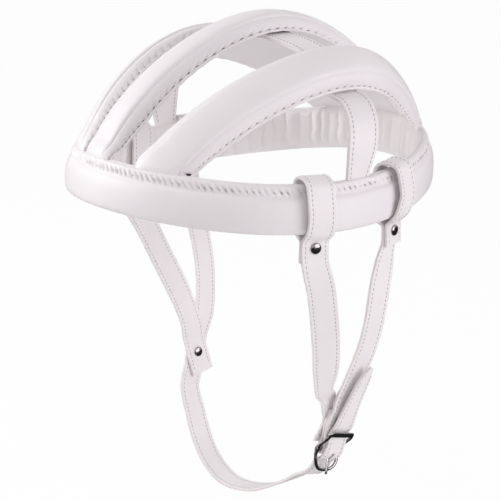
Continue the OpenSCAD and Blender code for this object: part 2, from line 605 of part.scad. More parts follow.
// The tongue rests on the rounded end, and its eye turns on the bar
eye_inside = bar_radius + tongue_clearance;
eye_outside = eye_inside + tongue_wire;
tongue_angle = atan(buckle_arch / buckle_reach)
    + asin((buckle_rod + tongue_wire + 0.1) / 2 / norm([buckle_reach, buckle_arch]));
tongue_length = buckle_reach + 2.4;
module buckle_tongue() color(STEEL) in_buckle_frame() difference() {
    union() {
        cylinder(h = tongue_wire, r = eye_outside, center = true, $fn = 48);
        rotate([0, 0, 180 - tongue_angle]) translate([eye_inside + tongue_wire / 2, 0, 0]) {
            rotate([0, 90, 0])
                cylinder(h = tongue_length - eye_inside, d = tongue_wire, $fn = 24);
            translate([tongue_length - eye_inside, 0, 0]) sphere(d = tongue_wire, $fn = 24);
        }
    }
    cylinder(h = 2 * tongue_wire, r = eye_inside, center = true, $fn = 48);
}
module tongue_slot(from, to) in_buckle_frame()
    translate([from, -6, -tongue_wire / 2 - slot_play])
    cube([to - from, 12, tongue_wire + 2 * slot_play]);

// Adjusting hole through a strap at a share of its path
module adjusting_hole(path, x) {
    row = ribbon_row(path, 2, -1, 1, x);
    placed((row[0][0] + row[1][1]) / 2, unit(row[0][1] - row[0][0]), unit(row[0][0] - row[1][0]))
        cylinder(h = 4 * strap_thickness, d = strap_hole, center = true, $fn = 24);
}

module left_rear_strap() color(LEATHER) difference() {
    ribbon(left_rear_path, rear_strap_width, -half_strap, half_strap);
    at_loop(left_rear_low) rivet_bore();
    at_left_joint(ply_2) rivet_bore();
    tongue_slot(-eye_outside - 1, eye_outside + 1.2);
}
module chin_strap() color(LEATHER) difference() {
    ribbon(chin_path, rear_strap_width, -half_strap, half_strap);
    at_loop(right_rear_low) rivet_bore();
    at_right_joint(0) rivet_bore();
    tongue_slot(-9.2, 0.2);
    for (back = [13, 14.2, 15]) adjusting_hole(chin_path, 1 - back / (len(chin_path) - 1));
}
module left_front_strap() color(LEATHER) difference() {
    ribbon(left_front_path, front_strap_width, -half_strap, half_strap);
    at_loop(left_front_low) rivet_bore();
    at_left_joint(ply_2) rivet_bore();
}
module right_front_strap() color(LEATHER) difference() {
    ribbon(right_front_path, front_strap_width, -half_strap, half_strap);
    at_loop(right_front_low) rivet_bore();
    at_right_joint(0) rivet_bore();
}

band_cover();
band_padding();
band_lining();
centre_strip_cover();
centre_strip_padding();
centre_strip_lining();
left_strip_cover();
left_strip_padding();
left_strip_lining();
right_strip_cover();
right_strip_padding();
right_strip_lining();
cross_strap_face();
cross_strap_backing();
left_rear_strap();
chin_strap();
left_front_strap();
right_front_strap();
left_rear_rivet();
right_rear_rivet();
left_joint_rivet();
right_joint_rivet();
left_front_rivet();
right_front_rivet();
buckle_frame();
buckle_bar();
buckle_tongue();
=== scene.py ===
# %% [markdown]
# # A white leather strip cycling helmet
# The real helmet is sewn by hand from flat leather: a padded head band, three padded strips over
# the crown, one cross strap, and a chin harness of narrow stitched straps with a small buckle.
# The CAD model gives the bodies that move and the space that each piece fills. This lesson makes
# the leather, the thread and the polished metal round it, piece by piece, in the same frame.

# %% Load the frame
import math

import bmesh
import bpy
import numpy as np
from mathutils import Matrix, Vector


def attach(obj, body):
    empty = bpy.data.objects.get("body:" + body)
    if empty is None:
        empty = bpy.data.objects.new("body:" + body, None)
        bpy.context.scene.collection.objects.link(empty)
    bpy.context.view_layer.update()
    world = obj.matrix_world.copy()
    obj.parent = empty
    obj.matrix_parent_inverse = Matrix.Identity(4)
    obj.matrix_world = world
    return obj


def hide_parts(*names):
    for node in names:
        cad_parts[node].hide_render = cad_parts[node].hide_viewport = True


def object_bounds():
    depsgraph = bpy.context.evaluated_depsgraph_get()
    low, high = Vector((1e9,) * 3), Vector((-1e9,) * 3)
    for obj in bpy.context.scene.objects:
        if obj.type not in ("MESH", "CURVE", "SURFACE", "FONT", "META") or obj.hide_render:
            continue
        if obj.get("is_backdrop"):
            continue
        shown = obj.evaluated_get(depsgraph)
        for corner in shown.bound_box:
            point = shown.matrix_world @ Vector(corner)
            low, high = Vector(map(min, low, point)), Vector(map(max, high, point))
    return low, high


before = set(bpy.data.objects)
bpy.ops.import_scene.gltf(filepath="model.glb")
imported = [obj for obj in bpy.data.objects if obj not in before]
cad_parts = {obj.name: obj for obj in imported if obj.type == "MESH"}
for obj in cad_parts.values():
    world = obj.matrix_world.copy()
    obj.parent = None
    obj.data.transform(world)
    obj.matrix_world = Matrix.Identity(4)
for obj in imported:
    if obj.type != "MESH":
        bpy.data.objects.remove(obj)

cad_low, cad_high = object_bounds()
bpy.ops.object.select_all(action="DESELECT")
print("CAD box in mm:", [round(1000 * x) for x in (*cad_low, *cad_high)])

# %% [markdown]
# ## A few helpers
# Blender's operators act on what is selected, so each helper first selects one thing alone. All
# the measures below are in millimetres, as a saddler would write them, and `MM` turns them into
# Blender's metres at the very end.

# %% Helpers for selecting and for moving points
MM = 0.001


def alone(piece):
    bpy.ops.object.select_all(action="DESELECT")
    piece.select_set(True)
    bpy.context.view_layer.objects.active = piece
    return piece


def named(name):
    piece = bpy.context.object
    piece.name = piece.data.name = name
    return piece


def apply_place(piece):
    alone(piece)
    bpy.ops.object.transform_apply(location=True, rotation=True, scale=True)
    return piece


def made(name, operator, **settings):
    """Adds a new piece with nothing else selected, and leaves it at the origin, unturned."""
    bpy.ops.object.select_all(action="DESELECT")
    operator(**settings)
    return apply_place(named(name))


def edit(piece, kind, wanted=None):
    """Opens edit mode with only the wanted faces, edges or vertices selected."""
    alone(piece)
    bpy.ops.object.mode_set(mode="EDIT")
    bpy.ops.mesh.select_mode(type=kind)
    bpy.ops.mesh.select_all(action="DESELECT" if wanted else "SELECT")
    if wanted:
        mesh = bmesh.from_edit_mesh(piece.data)
        for part in {"FACE": mesh.faces, "EDGE": mesh.edges, "VERT": mesh.verts}[kind]:
            part.select_set(bool(wanted(part)))
        bmesh.update_edit_mesh(piece.data)


def leave_edit():
    bpy.ops.object.mode_set(mode="OBJECT")


def finish_with(piece, kind, **settings):
    """Adds one modifier and applies it."""
    alone(piece)
    bpy.ops.object.modifier_add(type=kind)
    modifier = piece.modifiers[-1]
    for key, value in settings.items():
        setattr(modifier, key, value)
    bpy.ops.object.modifier_apply(modifier=modifier.name)
    return piece


def points_of(piece):
    """The mesh's points, in mm."""
    flat = np.zeros(3 * len(piece.data.vertices))
    piece.data.vertices.foreach_get("co", flat)
    return flat.reshape(-1, 3) / MM


def move_points(piece, points):
    piece.data.vertices.foreach_set("co", (np.asarray(points) * MM).ravel())
    piece.data.update()
    return piece


def bent(piece, shape):
    """Bends a flat piece: shape turns its x, y, z columns into points in the row frame."""
    flat = points_of(piece)
    return move_points(piece, shape(flat[:, 0], flat[:, 1], flat[:, 2]))


def outward_faces(piece, merge=0.02):
    """Merges points closer than merge, in mm, and turns all faces outwards."""
    edit(piece, "VERT")
    bpy.ops.mesh.remove_doubles(threshold=merge * MM)
    bpy.ops.mesh.normals_make_consistent(inside=False)
    leave_edit()
    return piece


def smooth(piece, angle):
    alone(piece)
    bpy.ops.object.shade_smooth_by_angle(angle=math.radians(angle))
    return piece


def join(pieces, name):
    bpy.ops.object.select_all(action="DESELECT")
    for piece in pieces:
        piece.select_set(True)
    bpy.context.view_layer.objects.active = pieces[0]
    bpy.ops.object.join()
    return named(name)


def settle(piece, body, slot, *nodes):
    """Hangs a finished piece on its body, and hides the CAD nodes that it stands for."""
    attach(piece, body)
    if nodes:
        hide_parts(*nodes)
    print(f"{piece.name}: {len(piece.data.polygons)} faces on {body}")
    return piece


# %% [markdown]
# ## The camera
# The photograph looks at the wearer's left side from the front and a little above. A long lens
# nearly a metre away gives the same small perspective, and a small shift frames the object as
# the photograph does.

# %% Camera at the photograph's angle
AZIMUTH, ELEVATION, ROLL = 52.33, 13.888, -0.183
CAMERA_DISTANCE = 0.9695
FOCAL_PIXELS = 1637.75
ORIGIN_PIXEL = (254.2, 184.5)
FRAME_PIXELS = 500
SENSOR_WIDTH = 36


def seen_from(azimuth, elevation):
    """The direction out to a place whose azimuth, from the brow, and elevation are in degrees."""
    a, e = math.radians(azimuth), math.radians(elevation)
    return Vector((math.sin(a) * math.cos(e), -math.cos(a) * math.cos(e), math.sin(e)))


back = seen_from(AZIMUTH, ELEVATION)
level_right = seen_from(AZIMUTH + 90, 0)
level_up = back.cross(level_right)
roll = math.radians(ROLL)
right = level_right * math.cos(roll) + level_up * math.sin(roll)
up = level_up * math.cos(roll) - level_right * math.sin(roll)

bpy.ops.object.camera_add(location=back * CAMERA_DISTANCE)
camera = bpy.context.object
camera.name = "photo_camera"
camera.rotation_euler = Matrix((right, up, back)).transposed().to_euler()
camera.data.sensor_width = SENSOR_WIDTH
camera.data.lens = FOCAL_PIXELS / FRAME_PIXELS * SENSOR_WIDTH
camera.data.shift_x = (FRAME_PIXELS / 2 - ORIGIN_PIXEL[0]) / FRAME_PIXELS
camera.data.shift_y = (ORIGIN_PIXEL[1] - FRAME_PIXELS / 2) / FRAME_PIXELS
camera.data.clip_start, camera.data.clip_end = 0.01, 100
bpy.context.scene.camera = camera
print("lens", round(camera.data.lens, 1), "mm")

# %% [markdown]
# ## Materials
# The helmet is nearly all one colour, so its look comes from small things: the pores and faint
# creases of the hide, a soft sheen, cream-coloured raw edges, grey thread, and the dark polish
# of the nickel. Each leather mixes two close tints with slow noise, and a bump of small cells
# over broader wrinkles gives the grain. Everything reads Object coordinates, so the grain stays
# fixed on the leather when the straps move.

# %% Material helpers
def new_material(name, roughness, **sockets):
    material = bpy.data.materials.new(name)
    material.use_nodes = True
    shader = material.node_tree.nodes["Principled BSDF"]
    shader.inputs["Roughness"].default_value = roughness
    for key, value in sockets.items():
        shader.inputs[key.replace("_", " ")].default_value = value
    return material, material.node_tree, shader


def add(tree, kind, **values):
    """Adds a node. A value goes to the input of that name, or else to the node's own setting."""
    node = tree.nodes.new(kind)
    for key, value in values.items():
        if hasattr(node, key):
            setattr(node, key, value)
        else:
            node.inputs[key.replace("_", " ")].default_value = value
    return node


def on_object(tree, node, output):
    """Lays a texture on Object coordinates. Its scale then counts its waves in a metre."""
    place = tree.nodes.get("Place") or add(tree, "ShaderNodeTexCoord", name="Place")
    tree.links.new(place.outputs["Object"], node.inputs["Vector"])
    return node.outputs[output]


def object_noise(tree, scale, detail):
    return on_object(tree, add(tree, "ShaderNodeTexNoise", Scale=scale, Detail=detail), "Fac")


def object_cells(tree, scale):
    return on_object(tree, add(tree, "ShaderNodeTexVoronoi", Scale=scale), "Distance")


def graded(tree, factor, stops):
    """Turns a factor into a colour, through a ramp of two stops of (place, colour)."""
    ramp = add(tree, "ShaderNodeValToRGB")
    for element, (place, colour) in zip(ramp.color_ramp.elements, stops):
        element.position = place
        element.color = (*colour, 1)
    tree.links.new(factor, ramp.inputs["Fac"])
    return ramp.outputs["Color"]


def tint(tree, shader, factor, stops):
    tree.links.new(graded(tree, factor, stops), shader.inputs["Base Color"])


def bump(tree, shader, height, depth):
    """Stacks one more layer of bump. Depth is the height of the pattern in mm."""
    node = add(tree, "ShaderNodeBump", Strength=1.0, Distance=depth * MM)
    before = shader.inputs["Normal"]
    if before.is_linked:
        tree.links.new(before.links[0].from_socket, node.inputs["Normal"])
    tree.links.new(height, node.inputs["Height"])
    tree.links.new(node.outputs["Normal"], before)


def vary_roughness(tree, shader, factor, low, high):
    spread = add(tree, "ShaderNodeMapRange")
    spread.inputs["To Min"].default_value = low
    spread.inputs["To Max"].default_value = high
    tree.links.new(factor, spread.inputs["Value"])
    tree.links.new(spread.outputs["Result"], shader.inputs["Roughness"])


# %% Leathers, thread and metals
def leather(name, pale, deep, roughness, pores, pore_depth, wrinkle_depth):
    """Pores are counted in a metre, and depths are in mm."""
    material, tree, shader = new_material(
        name, roughness, Specular_IOR_Level=0.35, Coat_Weight=0.08, Coat_Roughness=0.4,
        Sheen_Weight=0.05)
    tint(tree, shader, object_noise(tree, 28, 3), [(0.3, deep), (0.7, pale)])
    bump(tree, shader, object_noise(tree, 160, 5), wrinkle_depth)
    bump(tree, shader, object_cells(tree, pores), pore_depth)
    vary_roughness(tree, shader, object_noise(tree, 90, 4), roughness - 0.07, roughness + 0.09)
    return material


white_leather = leather("white_leather", (0.89, 0.862, 0.872), (0.865, 0.832, 0.846),
                        roughness=0.40, pores=1500, pore_depth=0.05, wrinkle_depth=0.10)
strap_leather = leather("strap_leather", (0.92, 0.894, 0.902), (0.895, 0.863, 0.872),
                        roughness=0.44, pores=1700, pore_depth=0.05, wrinkle_depth=0.07)
lining_leather = leather("lining_leather", (0.92, 0.892, 0.888), (0.87, 0.836, 0.834),
                         roughness=0.55, pores=1300, pore_depth=0.06, wrinkle_depth=0.22)


def raw_leather():
    """The cut edge of a strap: cream, matt and fibrous."""
    material, tree, shader = new_material("raw_edge", 0.75)
    fibres = object_noise(tree, 900, 3)
    tint(tree, shader, fibres, [(0.3, (0.76, 0.70, 0.69)), (0.75, (0.87, 0.83, 0.82))])
    bump(tree, shader, fibres, 0.15)
    return material


def sewing_thread(name, pale, deep):
    """Waxed thread: a fine twist across a dull colour. Its dark tints also serve as painted shade.
    """
    material, tree, shader = new_material(name, 0.6, Sheen_Weight=0.2)
    twist = object_noise(tree, 2600, 2)
    tint(tree, shader, twist, [(0.3, deep), (0.75, pale)])
    bump(tree, shader, twist, 0.08)
    return material


def nickel(name, pale, deep, roughness):
    material, tree, shader = new_material(name, roughness, Metallic=1.0)
    tint(tree, shader, object_noise(tree, 300, 4), [(0.3, deep), (0.7, pale)])
    vary_roughness(tree, shader, object_noise(tree, 700, 5), roughness - 0.05, roughness + 0.12)
    bump(tree, shader, object_noise(tree, 1200, 3), 0.012)
    return material


raw_edge = raw_leather()
thread = sewing_thread("grey_thread", (0.56, 0.54, 0.57), (0.40, 0.38, 0.41))
white_thread = sewing_thread("white_thread", (0.88, 0.86, 0.87), (0.78, 0.75, 0.76))
# Greyish-brown beads beside the ledge stitches: painted shade of the awl slits.
painted_slit_shade = sewing_thread("painted_slit_shade", (0.55, 0.49, 0.48), (0.38, 0.33, 0.32))
# Nearly black thread: partly the seam thread's own colour, partly painted shade of its notches and
# groove.
seam_thread_and_shade = sewing_thread("seam_thread_and_shade", (0.17, 0.13, 0.13), (0.08, 0.06, 0.06))
dark_chrome = nickel("dark_chrome", (0.44, 0.40, 0.41), (0.28, 0.25, 0.255), roughness=0.13)
bright_chrome = nickel("bright_chrome", (0.88, 0.86, 0.86), (0.78, 0.75, 0.75), roughness=0.16)
print("materials:", [m.name for m in bpy.data.materials])


def coated(piece, *materials):
    piece.data.materials.clear()
    for material in materials:
        piece.data.materials.append(material)
    return piece


# %% [markdown]
# ## The shape of the head band
# The band is an egg-shaped ring. Any place on it is an angle from the brow, an inset from its
# outer face and a height. Flat leather is laid out in those three numbers first and wrapped round
# the ring afterwards, just as a band is cut flat and closed at the nape.

# %% Places on the band
# The length and the width are half ones, from the middle of the ring to its outer face.
BAND_LENGTH, BAND_WIDTH, BAND_HEIGHT, BAND_THICKNESS = 113.0, 100.5, 26.0, 12.0

# How far the outer face leans in by the crease, how far the top flares out at the nape, how tall
# the ledge is, how far the sides dip, and how much wider the ring is in front than at the rear.
BAND_LEAN, BAND_FLARE, BAND_LEDGE, BAND_DIP, BAND_EGG = 3.0, 2.4, 6.6, 4.8, 0.07
CREASE_HEIGHT = BAND_HEIGHT - BAND_LEDGE
LINING_FOLD = 1.0
POCKET_FLOOR = BAND_HEIGHT - 9


def cosine(angle):
    return np.cos(np.radians(angle))


def sine(angle):
    return np.sin(np.radians(angle))


def eased(x):
    x = np.clip(x, 0, 1)
    return x * x * (3 - 2 * x)


def mixed(a, b, f):
    f = np.asarray(f)
    if np.ndim(a) > 1 or np.ndim(b) > 1:
        f = f[:, None]
    return a * (1 - f) + b * f


def rows(*columns):
    return np.stack(np.broadcast_arrays(*columns), axis=-1).astype(float)


def band_place(angle, inset, height):
    inside = inset - BAND_FLARE * eased(-cosine(angle)) * height / BAND_HEIGHT
    y = (inside - BAND_LENGTH) * cosine(angle)
    x = (BAND_WIDTH - inside) * sine(angle) * (1 - BAND_EGG * y / BAND_LENGTH)
    return rows(x, y, height + BAND_DIP * cosine(2 * angle))


def unit(v):
    return v / np.linalg.norm(v, axis=-1, keepdims=True)


def through(points, x):
    """A smooth curve through a list of points, for x from 0 to 1."""
    points = np.asarray(points, float)
    last = len(points) - 1
    i = np.clip(np.floor(x * last).astype(int), 0, last - 1)
    f = x * last - i
    a, b = points[np.maximum(i - 1, 0)], points[i]
    c, d = points[i + 1], points[np.minimum(i + 2, last)]
    if points.ndim > 1:
        f = f[:, None]
    return 0.5 * (2 * b + (c - a) * f + (2 * a - 5 * b + 4 * c - d) * f ** 2
                  + (3 * b - a - 3 * c + d) * f ** 3)


def flat_sheet(name, rows_along, rows_across):
    """A flat sheet of leather, one unit square, with a mesh fine enough to be bent."""
    return made(name, bpy.ops.mesh.primitive_grid_add, x_subdivisions=rows_along,
                y_subdivisions=rows_across, size=MM, location=(MM / 2, MM / 2, 0))


# %% [markdown]
# ## The band's cover
# The cover is one piece of soft leather over felt: a plump rounded bottom, a nearly flat outer
# face, a crease, and a ledge that slopes in to the strips' feet. The ledge is gathered by its
# stitches into small radial puckers. The sheet is wrapped round a smooth profile and then given
# the leather's thickness with Solidify, which keeps the outer face where it is.

# %% Wrap the cover round the band
cover_profile = [
    (8.4, 0.15), (5.8, -0.05), (3.2, 0.0), (1.9, 0.35), (0.9, 1.2), (0.2, 2.7), (0.0, 4.6),
    (0.05, 7.5), (0.35, 11.0), (0.95, 14.4), (1.75, 17.0), (2.45, 18.6), (3.3, 19.75),
    (4.1, 20.9), (4.75, 22.6), (5.3, 24.4), (5.9, 25.6), (6.8, 26.15), (8.2, 26.1), (9.7, 25.5)]
BAND_ROUND = 670.0
COVER_LEATHER = 1.0

# The ledge starts at this share of the profile, and this many mm would be the whole of it. The
# stitches are counted round the band, their row is in mm up the ledge and their slant in degrees.
LEDGE_START, LEDGE_RISE, LEDGE_END_INSET = 0.63, 36.0, 6.9
LEDGE_STITCHES, LEDGE_ROW, LEDGE_SLANT = 176, 4.0, 52
STITCH_PRESS, ROW_SWELL, LEDGE_PUCKER, COVER_WAVER, CREASE_DENT = 1.1, 0.3, 0.14, 0.18, 0.6


def puckers(angle, count, stray=1.0):
    """Uneven waves round the ring, from -1 to 1."""
    drift = stray * (1.7 * sine(7 * angle) + 1.1 * sine(17 * angle + 40))
    return sine(count * angle + 57.3 * drift) * (0.65 + 0.35 * sine(31 * angle + 12))


def hand(angle):
    """How far the sewing strays from even spacing, in degrees round the band."""
    return 0.22 * sine(5 * angle + 20) + 0.13 * sine(23 * angle) + 0.1 * sine(41 * angle + 70)


def pulled(angle, rise):
    """1 where a stitch pulls the ledge's leather in, and 0 between. Rise counts up the ledge."""
    up = rise - LEDGE_ROW
    slide = up / math.tan(math.radians(LEDGE_SLANT)) * 360 / BAND_ROUND
    turns = LEDGE_STITCHES * (angle + slide - hand(angle)) / 360
    return (0.5 + 0.5 * sine(360 * turns - 90)) ** 2 * np.exp(-(up / 1.9) ** 4)


def cover_shape(x, y, z):
    angle = -360 * x
    profile = through(cover_profile, y)
    inset, height = profile[:, 0], profile[:, 1]
    on_ledge = (eased((height - CREASE_HEIGHT - 0.3) / 1.6)
                * (1 - eased((inset - LEDGE_END_INSET) / 2)))
    rise = (y - LEDGE_START) * LEDGE_RISE
    row = np.exp(-((rise - LEDGE_ROW) / 3.2) ** 2)
    press = on_ledge * (STITCH_PRESS * pulled(angle, rise) - ROW_SWELL * row
                        + LEDGE_PUCKER * puckers(angle, 90) * (1 - row))
    waver = COVER_WAVER * puckers(angle + 5, 9) * eased((height - 3) / 8)
    dent = CREASE_DENT * np.exp(-((height - CREASE_HEIGHT - 0.9) / 0.8) ** 2) * (inset < 5)
    return band_place(angle, inset + dent + press * 0.7 + waver, height - press * 0.7)


band = bent(flat_sheet("band_cover_leather", 1120, 42), cover_shape)
outward_faces(band)
finish_with(band, "SOLIDIFY", thickness=COVER_LEATHER * MM, offset=-1)
smooth(coated(band, white_leather), 60)
settle(band, "headgear", "white_leather", "band_cover", "band_padding")

# %% [markdown]
# ## The gathered lining
# The lining is thin leather, longer than the inside of the band, so it is gathered into upright
# folds as it is sewn in. The folds are geometry, not bump, since the light from the side shows
# them. They are uneven in width and fade out at the seams.

# %% Wrap the lining inside the band
lining_profile = [
    (8.2, 0.25), (9.1, 0.0), (10.0, 0.7), (10.8, 2.6), (11.6, 5.5), (12.0, 10.0), (12.0, 14.0),
    (11.9, 19.0), (11.7, 23.4), (11.2, 25.3), (10.2, 26.2), (9.3, 25.9), (9.0, 24.8)]
FOLDS, FOLD_DEPTH, SEAM_RIPPLE, LINING_LEATHER = 80, 2.3 * LINING_FOLD, 0.1, 0.8


def lining_shape(x, y, z):
    angle = -360 * x
    profile = through(lining_profile, y)
    inset, height = profile[:, 0], profile[:, 1]
    full = eased((height - 1.0) / 6) * (1 - eased((height - 21.5) / 4.5))
    broad = np.abs(puckers(angle + 0.25 * sine(30 * height), FOLDS / 2, 0.4)) ** 0.6
    fine = puckers(angle + 20, 2.6 * FOLDS)
    fold = FOLD_DEPTH * full * broad + SEAM_RIPPLE * fine * (1 - full)
    return band_place(angle, inset + fold, height)


lining = bent(flat_sheet("band_lining_leather", 900, 30), lining_shape)
outward_faces(lining)
finish_with(lining, "SOLIDIFY", thickness=LINING_LEATHER * MM, offset=-1)
smooth(coated(lining, lining_leather), 60)
settle(lining, "headgear", "lining_leather", "band_lining")

# %% [markdown]
# ## Stitches
# A stitch is modelled once, as a small drawn-out bead of thread. An Array modifier sews a whole
# row of it while the leather is still flat, and the row is then bent with the leather. That is
# how the real straps are made too: sewn flat on a machine and bent when they are worn.

# %% A row of stitches
THREAD_FLATNESS = 0.8


def one_stitch(name, length, thick, slant):
    stitch = made(name, bpy.ops.mesh.primitive_uv_sphere_add, segments=6, ring_count=5,
                  radius=0.5 * MM, rotation=(0, math.pi / 2, 0))
    stitch.scale = (length, thick, thick * THREAD_FLATNESS)
    stitch.rotation_euler = (0, 0, math.radians(slant))
    return apply_place(stitch)


def stitch_row(name, start, run, pitch, y, z, length, thick, slant=0.0):
    """A row of stitches on flat leather, from start to start + run along x."""
    row = one_stitch(name, length, thick, slant)
    row.location = ((start + pitch / 2) * MM, y * MM, z * MM)
    apply_place(row)
    return finish_with(row, "ARRAY", count=max(2, int(run / pitch)), use_relative_offset=False,
                       use_constant_offset=True, constant_offset_displace=(pitch * MM, 0, 0))


# %% [markdown]
# The ledge of the band is closed with a slanting whip stitch of thick white thread, about five
# to two centimetres. Beside each stitch lies a short dark bead of painted shade, standing for the
# shadow in the slit that the awl pricked for it. The cover's puckers use the same spacing, so each
# stitch lies in a valley of the leather, and the hand's small errors move both together.

# %% Sew the ledge of the band
def on_ledge(x, y, z):
    """x runs round the band, y up the ledge from the crease, z stands out of it."""
    angle = -360 * x / BAND_ROUND
    angle = angle + hand(angle)
    share = np.clip(LEDGE_START + y / LEDGE_RISE, 0, 1)
    profile = through(cover_profile, share)
    ahead = through(cover_profile, np.clip(share + 0.01, 0, 1))
    slope = unit(ahead - profile)
    z = z + 0.15 * sine(47 * angle + 10) - 0.05
    inset = profile[:, 0] - slope[:, 1] * z
    height = profile[:, 1] + slope[:, 0] * z
    return band_place(angle, inset, height)


ledge_pitch = BAND_ROUND / LEDGE_STITCHES
# The second row is painted shade: dark beads for the shadow in each stitch's awl slit.
for name, ahead, z, length, thick, material in (
        ("band_ledge_stitches", 0, -0.2, 3.0, 1.2, white_thread),
        ("band_ledge_painted_shade", 0.95, -0.25, 2.4, 0.9, painted_slit_shade)):
    sewn = stitch_row(name, ahead - ledge_pitch / 2, BAND_ROUND + 1, ledge_pitch, LEDGE_ROW, z,
                      length, thick, LEDGE_SLANT)
    smooth(coated(bent(sewn, on_ledge), material), 80)
    settle(sewn, "headgear", "white_leather")

# %% [markdown]
# ## The crown strips
# A strip follows its crown line from the pocket at the brow to the pocket at the nape. Its width
# lies across that line, and at both ends it flattens into a thin tab that slips between the cover
# and the lining of the band. The same sheet-bending works: x runs along, y across and z out.

# %% Places on a crown strip
STRIP_THICKNESS, STRIP_WIDTH, STRIP_LINING = 10.5, 30.0, 1.5
POCKET_OUTSIDE = BAND_LEAN + 2.8 + 1.2
POCKET_INSIDE = BAND_THICKNESS - 2.1
TAB_INSET = (POCKET_OUTSIDE + POCKET_INSIDE - 2.4) / 2 + 0.1
TAB_FOOT = POCKET_FLOOR + 1
TAB_SHARE = 0.95

# Every strip faces away from this point inside the band.
FACES_FROM = np.array([0, 0, 5.0])

# The stretches of height, in mm, over which a strip comes out of its pocket, opens out from flat
# and swells to its full thickness, and its share of that thickness at the foot.
TUCKED_FOR, FLAT_FOR, THIN_FOR, THIN_SHARE = 10, 9, 30, 0.55

# How a crown line sets off from its foot, as shares: up towards its top, out to the side and in
# from the front or rear. Then how far its top pulls it level, to the front and to the rear.
FOOT_RISE, FOOT_OUT, FOOT_BACK, FRONT_REACH, REAR_REACH = 0.42, 0.12, -0.04, 0.45, 0.5

# A line has the angles of its front and rear feet, and the highest point between them. A strip
# has its side, its line and where in its wave the unevenness of its leather starts.
centre_line = (-5.0, 180.0, (-2.5, 9.0, 102.0))
left_line = (23.0, 159.0, (66.0, 9.0, 83.5))
right_line = (-23.0, -159.0, (-66.0, 9.0, 83.5))
STRIPS = (("centre", centre_line, 0.0), ("left", left_line, 1.7), ("right", right_line, 4.1))


def crown_point(line, s):
    """The middle of a strip's top, for s from 0 at the front foot to 1 at the rear one."""
    front, rear, crown = line[0], line[1], np.array(line[2])
    angle = np.where(s < 0.5, front, rear)
    foot = band_place(angle, TAB_INSET, TAB_FOOT)
    rise = FOOT_RISE * (crown[2] - foot[:, 2])
    lean = rows(foot[:, 0] * FOOT_OUT, foot[:, 1] * FOOT_BACK, rise)
    reach = np.where(s < 0.5, FRONT_REACH, REAR_REACH) * np.abs(crown[1] - foot[:, 1])
    before = crown + rows(0 * reach, np.sign(foot[:, 1] - crown[1]) * reach, 0 * reach)
    t = (1 - np.abs(2 * s - 1))[:, None]
    return ((1 - t) ** 3 * foot + 3 * (1 - t) ** 2 * t * (foot + lean)
            + 3 * (1 - t) * t * t * before + t ** 3 * crown)


def strip_place(line, s, across_full, out_full, across_tab, out_tab):
    """A place on a strip: across it and out of it where it is full, and where it is a flat tab."""
    point = crown_point(line, s)
    along = unit(crown_point(line, np.minimum(s + 0.01, 1))
                 - crown_point(line, np.maximum(s - 0.01, 0)))
    across = unit(np.cross(along, point - FACES_FROM))
    out = np.cross(across, along)
    angle = np.where(s < 0.5, line[0], line[1])
    side = np.where(s < 0.5, 1, -1)
    foot = band_place(angle, TAB_INSET, TAB_FOOT)
    height = TAB_FOOT + point[:, 2] - foot[:, 2]
    flat = 1 - eased((height - BAND_HEIGHT + 2) / FLAT_FOR)
    thin = THIN_SHARE + (1 - THIN_SHARE) * eased((height - BAND_HEIGHT) / THIN_FOR)
    w = mixed(across_full, across_tab, flat)
    h = mixed(out_full * thin, out_tab, flat)
    tab = band_place(angle + side * w * 180 / math.pi / BAND_WIDTH, TAB_INSET - h, height)
    tucked = 1 - eased((height - BAND_HEIGHT) / TUCKED_FOR)
    return mixed(point + across * w[:, None] + out * h[:, None], tab, tucked)


def strip_s(x):
    """Spreads the mesh along a strip, a little closer at its ends, where it bends most."""
    return mixed(x, 0.5 - 0.5 * cosine(180 * x), 0.55)


# %% [markdown]
# The cover of a strip has a crowned panel, a crease at each side of it and a bevel down to the
# seam, where the leather is turned in over the lining. Its profile is drawn as a list of points
# from one edge to the other and swept along the crown line.

# %% Cover a strip
half_profile = [
    (0.0, 0.0), (3.0, -0.12), (5.6, -0.4), (7.4, -0.85), (8.5, -1.4), (9.0, -2.1), (9.15, -2.95),
    (9.6, -3.15), (10.2, -3.4), (11.3, -4.4), (12.2, -5.7), (12.9, -7.2), (13.2, -8.3),
    (12.9, -9.1)]
strip_profile = [(-w, h) for w, h in half_profile[:0:-1]] + half_profile
STRIP_LENGTH, STRIP_LEATHER = 250.0, 0.9
SEAM_PITCH, SEAM_START, SEAM_SLANT, SEAM_PULL, STRIP_WAVER = 4.2, 6.0, 42, 0.65, 0.22


def notches(x, h):
    """1 where a stitch of the seam pulls the leather in, and 0 between. x is in mm."""
    slide = (h + 7.6) / math.tan(math.radians(SEAM_SLANT))
    wave = 0.5 + 0.5 * np.cos(2 * math.pi * ((x - SEAM_START - slide) / SEAM_PITCH - 0.5))
    return wave ** 3 * eased((-h - 6.5) / 1.2)


def strip_cover_shape(line, turn):
    def shape(x, y, z):
        profile = through(strip_profile, y)
        w, h = profile[:, 0], profile[:, 1]
        s = strip_s(x)
        edge = eased((np.abs(w) - 9.5) / 3)
        pull = SEAM_PULL * notches(x * STRIP_LENGTH, h)
        waver = STRIP_WAVER * np.sin(11 * x + turn) * np.sin(math.pi * y) * np.sin(math.pi * x)
        h = h + waver - 0.5 * pull
        w = w - np.sign(w) * pull
        return strip_place(line, s, w, h, w * TAB_SHARE, -0.8 * edge)
    return shape


def cover_strip(name, line, turn, *nodes):
    cover = flat_sheet(name, 700, 56)
    bent(cover, strip_cover_shape(line, turn))
    finish_with(cover, "SOLIDIFY", thickness=STRIP_LEATHER * MM, offset=-1)
    smooth(coated(cover, white_leather), 60)
    return settle(cover, "headgear", "white_leather", *nodes)


for side, line, turn in STRIPS:
    cover_strip(f"{side}_strip_leather", line, turn,
                f"{side}_strip_cover", f"{side}_strip_padding")

# %% [markdown]
# The lining of a strip is a thicker, stiffer strip of leather whose edges stand out past the
# seam as a narrow lip. It is a flat bar with rounded edges: a grid, extruded to its thickness in
# edit mode, with its rim bevelled.

# %% A flat strap with rounded edges
MESH_STEP = 1.6


